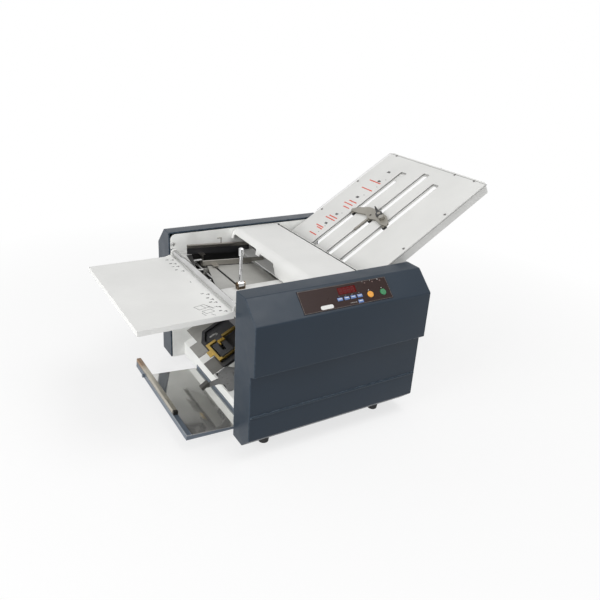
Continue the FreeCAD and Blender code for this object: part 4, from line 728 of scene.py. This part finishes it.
RED_LINES = ((0, 255, 280), (20.5, 258, 277), (26, 260, 287), (56, 253, 288),
             (64, 254, 283), (103.5, 256, 277), (115, 257, 288), (125.5, 254, 281),
             (175, 254, 292), (204, 256, 296))          # along, then from and to across
SCALE_NUMBERS = (("100", 38, 271), ("150", 73, 273), ("200", 141, 275), ("250", 208, 271),
                 ("300", 244, 276))
SCALE_DOTS = ((10.8, 258), (32, 260), (84, 258), (156, 261), (192, 254), (221, 254))
SCALE_HEIGHT = 4.2         # of its numbers
DOT_HALF = 1.5
SEAM_INSET = 4.2           # of the plate's seams from the sheet's edges
SEAM_START = -10.0
SEAM_REAR_START = 60.0
SEAM_END = 304.5


def print_fold_scale():
    """Scale beside the first plate's rear slot: red setting lines and black numbers."""
    red = [[(a, low), (a, high)] for a, low, high in RED_LINES]
    numbers = []
    for text, a, b in SCALE_NUMBERS:
        numbers += lettering(text, a, b, SCALE_HEIGHT, sideways=True)
    dots = [[(a, b - DOT_HALF), (a, b + DOT_HALF)] for a, b in SCALE_DOTS]
    draw("fold_scale_red", plate1, red, ink_red, "first_plate", width=3.0)
    draw("fold_scale_numbers", plate1, numbers, ink_black, "first_plate", width=1.5)
    draw("fold_scale_ticks", plate1, dots, ink_seam, "first_plate", width=1.2)


def print_plate_seams():
    """Dark seam where the plate's top sheet meets its flanged frame."""
    near = SEAM_INSET
    far = CLEAR_WIDTH - SEAM_INSET
    seams = [[(SEAM_START, near), (SEAM_END, near), (SEAM_END, far)],
             [(SEAM_REAR_START, far), (SEAM_END, far)]]
    draw("fold_plate_seam", plate1, seams, ink_seam, "first_plate", width=1.0)


TRAY_NUMBERS = ((-16.5, 305), (-16.6, 282), (-18.5, 264), (-18.5, 244), (-16.6, 112),
                (-15.0, 90), (-17.2, 70.6), (-16.9, 48.7), (-15.6, 29.6))
TRAY_HEIGHT = 4.4          # of its numbers, each set this far to the rear of its place:
TRAY_SHIFT = 1.2
TRAY_TICKS = ((-6.8, 301), (-9, 277.7), (-8.8, 261.6), (-8.5, 233.8), (-8, 105.6),
              (-9.8, 81.3), (-8.9, 67), (-11, 46.1), (-7.9, 24.9))
TICK_STROKES = (((-2.6, 0.0), (2.6, 0.0)), ((1.2, -3.2), (1.2, 1.5)))
MIDDLE_TICK = [(-15.6, 171.8), (-15.6, 174.6)]
SHEET_SKETCH = [[(-54, 61), (-40, 64), (-35, 50), (-49, 47), (-54, 61)],
                [(-47, 40), (-30, 43), (-26, 32), (-43, 28), (-47, 40)],
                [(-40, 64), (-33, 66), (-28, 52), (-35, 50)],
                [(-30, 60), (-22, 44)], [(-27, 55), (-22, 44), (-29, 49)],
                [(-50, 33), (-47, 21)], [(-36, 24), (-31, 16)]]


def print_tray_ruler():
    """Paper sizes on the tray beside the rod, and a small folding sketch."""
    numbers = []
    for index, (a, b) in enumerate(TRAY_NUMBERS):
        digit = str(9 - index % 5)
        numbers += lettering(digit, a - TRAY_HEIGHT / 2, b + TRAY_SHIFT, TRAY_HEIGHT,
                             sideways=True)
    ticks = []
    for a, b in TRAY_TICKS:
        ticks += [[(a + x, b + y) for x, y in stroke] for stroke in TICK_STROKES]
    ticks.append(MIDDLE_TICK)
    draw("tray_ruler", table, numbers, ink_black, "feed_tray", width=1.25)
    draw("tray_ticks", table, ticks, ink_black, "feed_tray", width=1.6)
    draw("tray_fold_sketch", table, SHEET_SKETCH, ink_black, "feed_tray", width=0.9)


PANEL_LEFT = 98.0
PANEL_RIGHT = 295.0
PANEL_LOW = 6.0
PANEL_HIGH = 51.0
BORDER_INSET = 1.0
FILM = 1.2                 # the label's thickness
WINDOW_DROP = 0.3          # the display's window lies this far under the label's face
KEY_FACE = 2.0             # the keys stand this far off the cover
KEY_SPOTS = ((179.5, 22.3), (194.5, 22.3), (209.0, 22.3), (223.8, 22.3), (221.7, 11.5))
KEY_SIGNS = "+-+-"
KEY_SIGN_ROW = 27.2
LAMP_NUMBERS = (("1", 240.7), ("2", 258.5), ("3", 276.0))
LAMP_ROW = 48.0
BUTTON_SIGNS = (("o", 246.4), ("^", 276.0))
BUTTON_ROW = 28.8
SMALL_SIGN = 1.8           # height of the keys' and lamps' signs,
SMALL_SHIFT = 0.8          # which start this far to the left of their places
LARGE_SIGN = 2.8           # height of the buttons' signs
LAST_KEY_LINE = [(198.0, 11.5), (213.0, 11.5)]          # on the label, beside that key
BADGE = (134.0, 8.6, 27.0, 7.6, 3.4)                    # corner, width, height, radius
DIGITS = 4
DIGIT_START = 184.5
DIGIT_STEP = 9.0
DIGIT_ROW = 33.2
DIGIT_HEIGHT = 9.6
KEY_LINE_HALF = 3.2
KEY_LINE_UP = 0.6


def print_label():
    """Border, signs of the keys and buttons, lamp numbers and a blank badge."""
    face = slope.raised(FILM)
    left, right = PANEL_LEFT + BORDER_INSET, PANEL_RIGHT - BORDER_INSET
    low, high = PANEL_LOW + BORDER_INSET, PANEL_HIGH - BORDER_INSET
    border = [[(left, low), (right, low), (right, high), (left, high), (left, low)]]
    draw("label_border", face, border, ink_grey, "base", width=0.4)
    small = [(sign, spot[0], KEY_SIGN_ROW) for sign, spot in zip(KEY_SIGNS, KEY_SPOTS)]
    small += [(sign, a, LAMP_ROW) for sign, a in LAMP_NUMBERS]
    signs = []
    for sign, a, b in small:
        signs += lettering(sign, a - SMALL_SHIFT, b, SMALL_SIGN)
    for sign, a in BUTTON_SIGNS:
        signs += lettering(sign, a, BUTTON_ROW, LARGE_SIGN)
    signs.append(LAST_KEY_LINE)
    draw("label_signs", face, signs, ink_white, "base", width=0.4)
    rounded_patch("blank_badge", face, *BADGE, ink_white, "base", "white_paint")


def print_display():
    """Unlit digits of the display."""
    digits = []
    for i in range(DIGITS):
        digits += lettering("8", DIGIT_START + i * DIGIT_STEP, DIGIT_ROW, DIGIT_HEIGHT)
    draw("unlit_digits", slope.raised(FILM - WINDOW_DROP), digits, ink_dim, "base",
         width=0.9)


def print_keys():
    """A short white line on each function key."""
    for number, (a, b) in enumerate(KEY_SPOTS, 1):
        line = [(a - KEY_LINE_HALF, b + KEY_LINE_UP), (a + KEY_LINE_HALF, b + KEY_LINE_UP)]
        draw("key_line_%d" % number, slope.raised(KEY_FACE), [line], ink_white,
             "function_key_%d" % number, width=1.3)


SWITCH_SIGNS = (("|", 76.0), ("o", 62.5))
SWITCH_SIDE = 119.0
SWITCH_SIGN_HEIGHT = 5.0


def print_switch():
    """Plain on and off signs beside the mains switch."""
    signs = []
    for sign, b in SWITCH_SIGNS:
        signs += lettering(sign, SWITCH_SIDE, b, SWITCH_SIGN_HEIGHT)
    draw("switch_signs", end_wall, signs, ink_black, "base", width=0.8)


# ================================================================ small fasteners

HEAD_GRID = 16             # squares along each side of a screw head
HEAD_RIM = 0.45            # height of its rim, as a share of the whole head
CROSS_HALF = 0.14          # half width and reach of the cross, as shares of the radius
CROSS_REACH = 0.55
CROSS_DEPTH = 0.38         # as a share of the whole head's height


def on_disc(i, j):
    """Point of the head's square grid, moved onto the unit disc."""
    p = 2 * i / HEAD_GRID - 1
    q = 2 * j / HEAD_GRID - 1
    return p * sqrt(1 - q * q / 2), q * sqrt(1 - p * p / 2)


def head_share(x, y):
    """Height of a screw head over the unit disc, as a share of the whole."""
    share = HEAD_RIM + (1 - HEAD_RIM) * sqrt(max(0.0, 1 - x * x - y * y))
    near, far = sorted((abs(x), abs(y)))
    if near < CROSS_HALF and far < CROSS_REACH:
        share -= CROSS_DEPTH
    return share


def pan_heads(name, place, spots, material, body, *, radius, bulge=0.5):
    """Pan-head screws with cross recesses at the (a, b) spots of a face."""
    rise = bulge * radius
    mesh = bmesh.new()
    for a, b in spots:
        rows = []
        for i in range(HEAD_GRID + 1):
            row = []
            for j in range(HEAD_GRID + 1):
                x, y = on_disc(i, j)
                row.append(mesh.verts.new(place.at(a + x * radius, b + y * radius,
                                                   head_share(x, y) * rise)))
            rows.append(row)
        for near, far in zip(rows, rows[1:]):
            for j in range(HEAD_GRID):
                mesh.faces.new((near[j], far[j], far[j + 1], near[j + 1]))
        rim = (rows[0][:-1] + [row[-1] for row in rows[:-1]] + rows[-1][:0:-1]
               + [row[0] for row in rows[:0:-1]])
        foot = [mesh.verts.new(vertex.co - place.normal * (HEAD_RIM * rise * MM))
                for vertex in rim]
        join_rings(mesh, foot, rim)
    return add_piece(name, mesh, material, body)


RING_STEPS = 48            # points round a turned piece
FLUTE_DEPTH = 0.06         # of a fluted rim, as a share of its radius


def turned(name, place, spot, profile, flutes, material, body):
    """Turned piece on a face's normal; profile is (height, radius, share of the flutes)."""
    a, b = spot
    mesh = bmesh.new()
    rings = []
    for height, radius, rippled in profile:
        ring = []
        for k in range(RING_STEPS):
            angle = 2 * pi * k / RING_STEPS
            ripple = rippled * (0.5 + 0.5 * cos(flutes * angle))
            reach = radius * (1 - FLUTE_DEPTH * ripple)
            ring.append(mesh.verts.new(place.at(a + reach * cos(angle),
                                                b + reach * sin(angle), height)))
        rings.append(ring)
    for low, high in zip(rings, rings[1:]):
        join_rings(mesh, low, high)
    mesh.faces.new(rings[-1])
    mesh.faces.new(rings[0][::-1])
    return add_piece(name, mesh, material, body, smooth=True)


PLATE_SCREWS = ((69, 325), (187, 325), (303, 307), (303, 100), (303, 40), (72, 16),
                (191, 16))
FRAME_SCREW = (7.8, 301.0)
HINGE_SCREW = (270.2, 317.5)
END_SCREWS = [(b, z) for b in (12, 328) for z in (40, 130, 215)]
KNOB_SPOT = (156.0, -7.8)
KNOB_PROFILE = ((0.0, 3.2, 0.0), (0.8, 3.2, 0.0), (0.8, 4.7, 1.0), (3.8, 4.7, 1.0),
                (4.4, 4.0, 0.0))
KNOB_FLUTES = 12
KNOB_EDGE = 0.25
KNOB_EDGE_ANGLE = 40
CLIP = [(50, 232), (64, 232), (64, 227)]
CLIP_WIDTH = 5.0
CLIP_LIFT = -4.42          # it lies on the second plate's sunken sheet


def add_fasteners():
    """Screws of the plate, the frame and the end panel, the plate's knob and its clip."""
    draw("plate_clip", plate2, [CLIP], clip_steel, "base", width=CLIP_WIDTH,
         lift=CLIP_LIFT)
    pan_heads("fold_plate_screws", plate1, PLATE_SCREWS, screw_dark, "first_plate",
              radius=2.8)
    pan_heads("frame_screws", rear_wall, [FRAME_SCREW], screw_steel, "base", radius=4.4,
              bulge=0.7)
    pan_heads("end_panel_screws", end_wall, END_SCREWS, screw_steel, "base", radius=3.0)
    knob = turned("fold_plate_knob", plate1_end, KNOB_SPOT, KNOB_PROFILE, KNOB_FLUTES,
                  screw_black, "first_plate")
    round_edges(knob, KNOB_EDGE, KNOB_EDGE_ANGLE)
    pan_heads("hinge_screw", rear_wall, [HINGE_SCREW], screw_black, "base",
              radius=3.0)


print_fold_scale()
print_plate_seams()
print_tray_ruler()
print_label()
print_display()
print_keys()
print_switch()
add_fasteners()


# ================================================================ camera, floor and light

CAMERA_PLACE = Vector((-442.5, -913.8, 769.5))
AZIMUTH = radians(-33.05)
ELEVATION = radians(23.36)
ROLL = radians(4.09)
FOCAL_PIXELS = 631.2
CENTRE_X = 309.4           # where the camera's axis meets the picture, in pixels
CENTRE_Y = 292.2
FRAME_PIXELS = 600.0
SENSOR_WIDTH = 36.0
CLIP_END = 50.0            # the camera sees this far, in metres
FLOOR_HALF = 12.0          # half the floor's side, in metres
FLOOR_GREY = (0.92, 0.92, 0.92)
SHADE_RADIUS = 0.45        # round the object the floor keeps its shadow, in metres
WHITE_RADIUS = 1.3         # and beyond this it is white
NEAR_WHITE = 0.72          # share of plain white in the seen floor near the object
PLAIN_WHITE = (1.0, 1.0, 1.0)
ROOM_STRENGTH = 0.38       # of the light that the room itself gives
LAMP_AIM = Vector((0.0, 0.0, 0.2))


def make_camera():
    """The photo's camera, from the fit to 40 of its points."""
    data = bpy.data.cameras.new("photo_camera")
    data.sensor_width = SENSOR_WIDTH
    data.lens = FOCAL_PIXELS / FRAME_PIXELS * SENSOR_WIDTH
    data.shift_x = (FRAME_PIXELS / 2 - CENTRE_X) / FRAME_PIXELS
    data.shift_y = (CENTRE_Y - FRAME_PIXELS / 2) / FRAME_PIXELS
    data.clip_end = CLIP_END
    camera = link_object("photo_camera", data)
    back = Vector((sin(AZIMUTH) * cos(ELEVATION), -cos(AZIMUTH) * cos(ELEVATION),
                   sin(ELEVATION)))
    right = (-back).cross(Vector((0, 0, 1))).normalized()
    upward = right.cross(-back)
    side = right * cos(ROLL) + upward * sin(ROLL)
    head = upward * cos(ROLL) - right * sin(ROLL)
    turn = Matrix((side, head, back)).transposed().to_4x4()
    camera.matrix_world = Matrix.Translation((CAMERA_PLACE + CAD_ORIGIN) * MM) @ turn
    bpy.context.scene.camera = camera


def only_seen(tree):
    """1 for camera, glossy and transmission rays, 0 for the light that reaches the object."""
    path = tree.node("ShaderNodeLightPath").outputs
    return tree.any_of(path["Is Camera Ray"], path["Is Glossy Ray"],
                       path["Is Transmission Ray"])


def white_share(tree):
    """Share of plain white in the seen floor, smaller near the object's shadow."""
    length = tree.node("ShaderNodeVectorMath", operation="LENGTH")
    tree.feed(length.inputs[0], tree.node("ShaderNodeTexCoord").outputs["Object"])
    grade = tree.span(length.outputs["Value"], NEAR_WHITE, 1.0, SHADE_RADIUS, WHITE_RADIUS)
    return tree.all_of(only_seen(tree), grade)


def plain_light(tree, kind, color, strength):
    """Emission or background of one colour."""
    made = tree.node(kind)
    tree.feed(made.inputs["Color"], color)
    tree.feed(made.inputs["Strength"], strength)
    return made.outputs[0]


def mix_shaders(tree, out, factor, first, second):
    """Output that shows first where factor is 0 and second where it is 1."""
    made = tree.node("ShaderNodeMixShader")
    for socket, value in zip(made.inputs, (factor, first, second)):
        tree.feed(socket, value)
    tree.feed(out.inputs[0], made.outputs[0])


def make_floor():
    """Pale floor: it takes the object's shadow and fades into plain white."""
    mesh = bpy.data.meshes.new("floor")
    corners = [(-FLOOR_HALF, -FLOOR_HALF, 0), (FLOOR_HALF, -FLOOR_HALF, 0),
               (FLOOR_HALF, FLOOR_HALF, 0), (-FLOOR_HALF, FLOOR_HALF, 0)]
    mesh.from_pydata(corners, [], [(0, 1, 2, 3)])
    floor = link_object("floor", mesh)
    material = bpy.data.materials.new("floor")
    material.use_nodes = True
    tree = Nodes(material.node_tree)
    diffuse = tree.node("ShaderNodeBsdfDiffuse")
    tree.feed(diffuse.inputs["Color"], FLOOR_GREY)
    glow = plain_light(tree, "ShaderNodeEmission", PLAIN_WHITE, 1.0)
    mix_shaders(tree, tree.node("ShaderNodeOutputMaterial"), white_share(tree),
                diffuse.outputs[0], glow)
    mesh.materials.append(material)


def make_world():
    """Soft light of the room; the camera and mirrors see plain white instead."""
    world = bpy.data.worlds.new("studio")
    bpy.context.scene.world = world
    world.use_nodes = True
    tree = Nodes(world.node_tree)
    room = plain_light(tree, "ShaderNodeBackground", PLAIN_WHITE, ROOM_STRENGTH)
    seen = plain_light(tree, "ShaderNodeBackground", PLAIN_WHITE, 1.0)
    mix_shaders(tree, tree.node("ShaderNodeOutputWorld"), only_seen(tree), room, seen)


def make_lamp(name, place, power, width, height):
    """Rectangular soft box, in metres and watts, turned to the object."""
    data = bpy.data.lights.new(name, "AREA")
    data.shape = "RECTANGLE"
    data.size = width
    data.size_y = height
    data.energy = power
    lamp = link_object(name, data)
    lamp.location = place
    lamp.rotation_euler = (LAMP_AIM - Vector(place)).to_track_quat("-Z", "Y").to_euler()


make_camera()
make_floor()
make_world()
make_lamp("key_left", (-2.6, -0.6, 1.05), power=48.0, width=1.5, height=1.3)
make_lamp("top_soft", (0.4, -0.8, 2.3), power=22.0, width=1.2, height=1.2)
make_lamp("fill_front", (-0.9, -2.6, 1.0), power=4.0, width=1.8, height=1.2)
bpy.context.scene.view_settings.view_transform = "Standard"
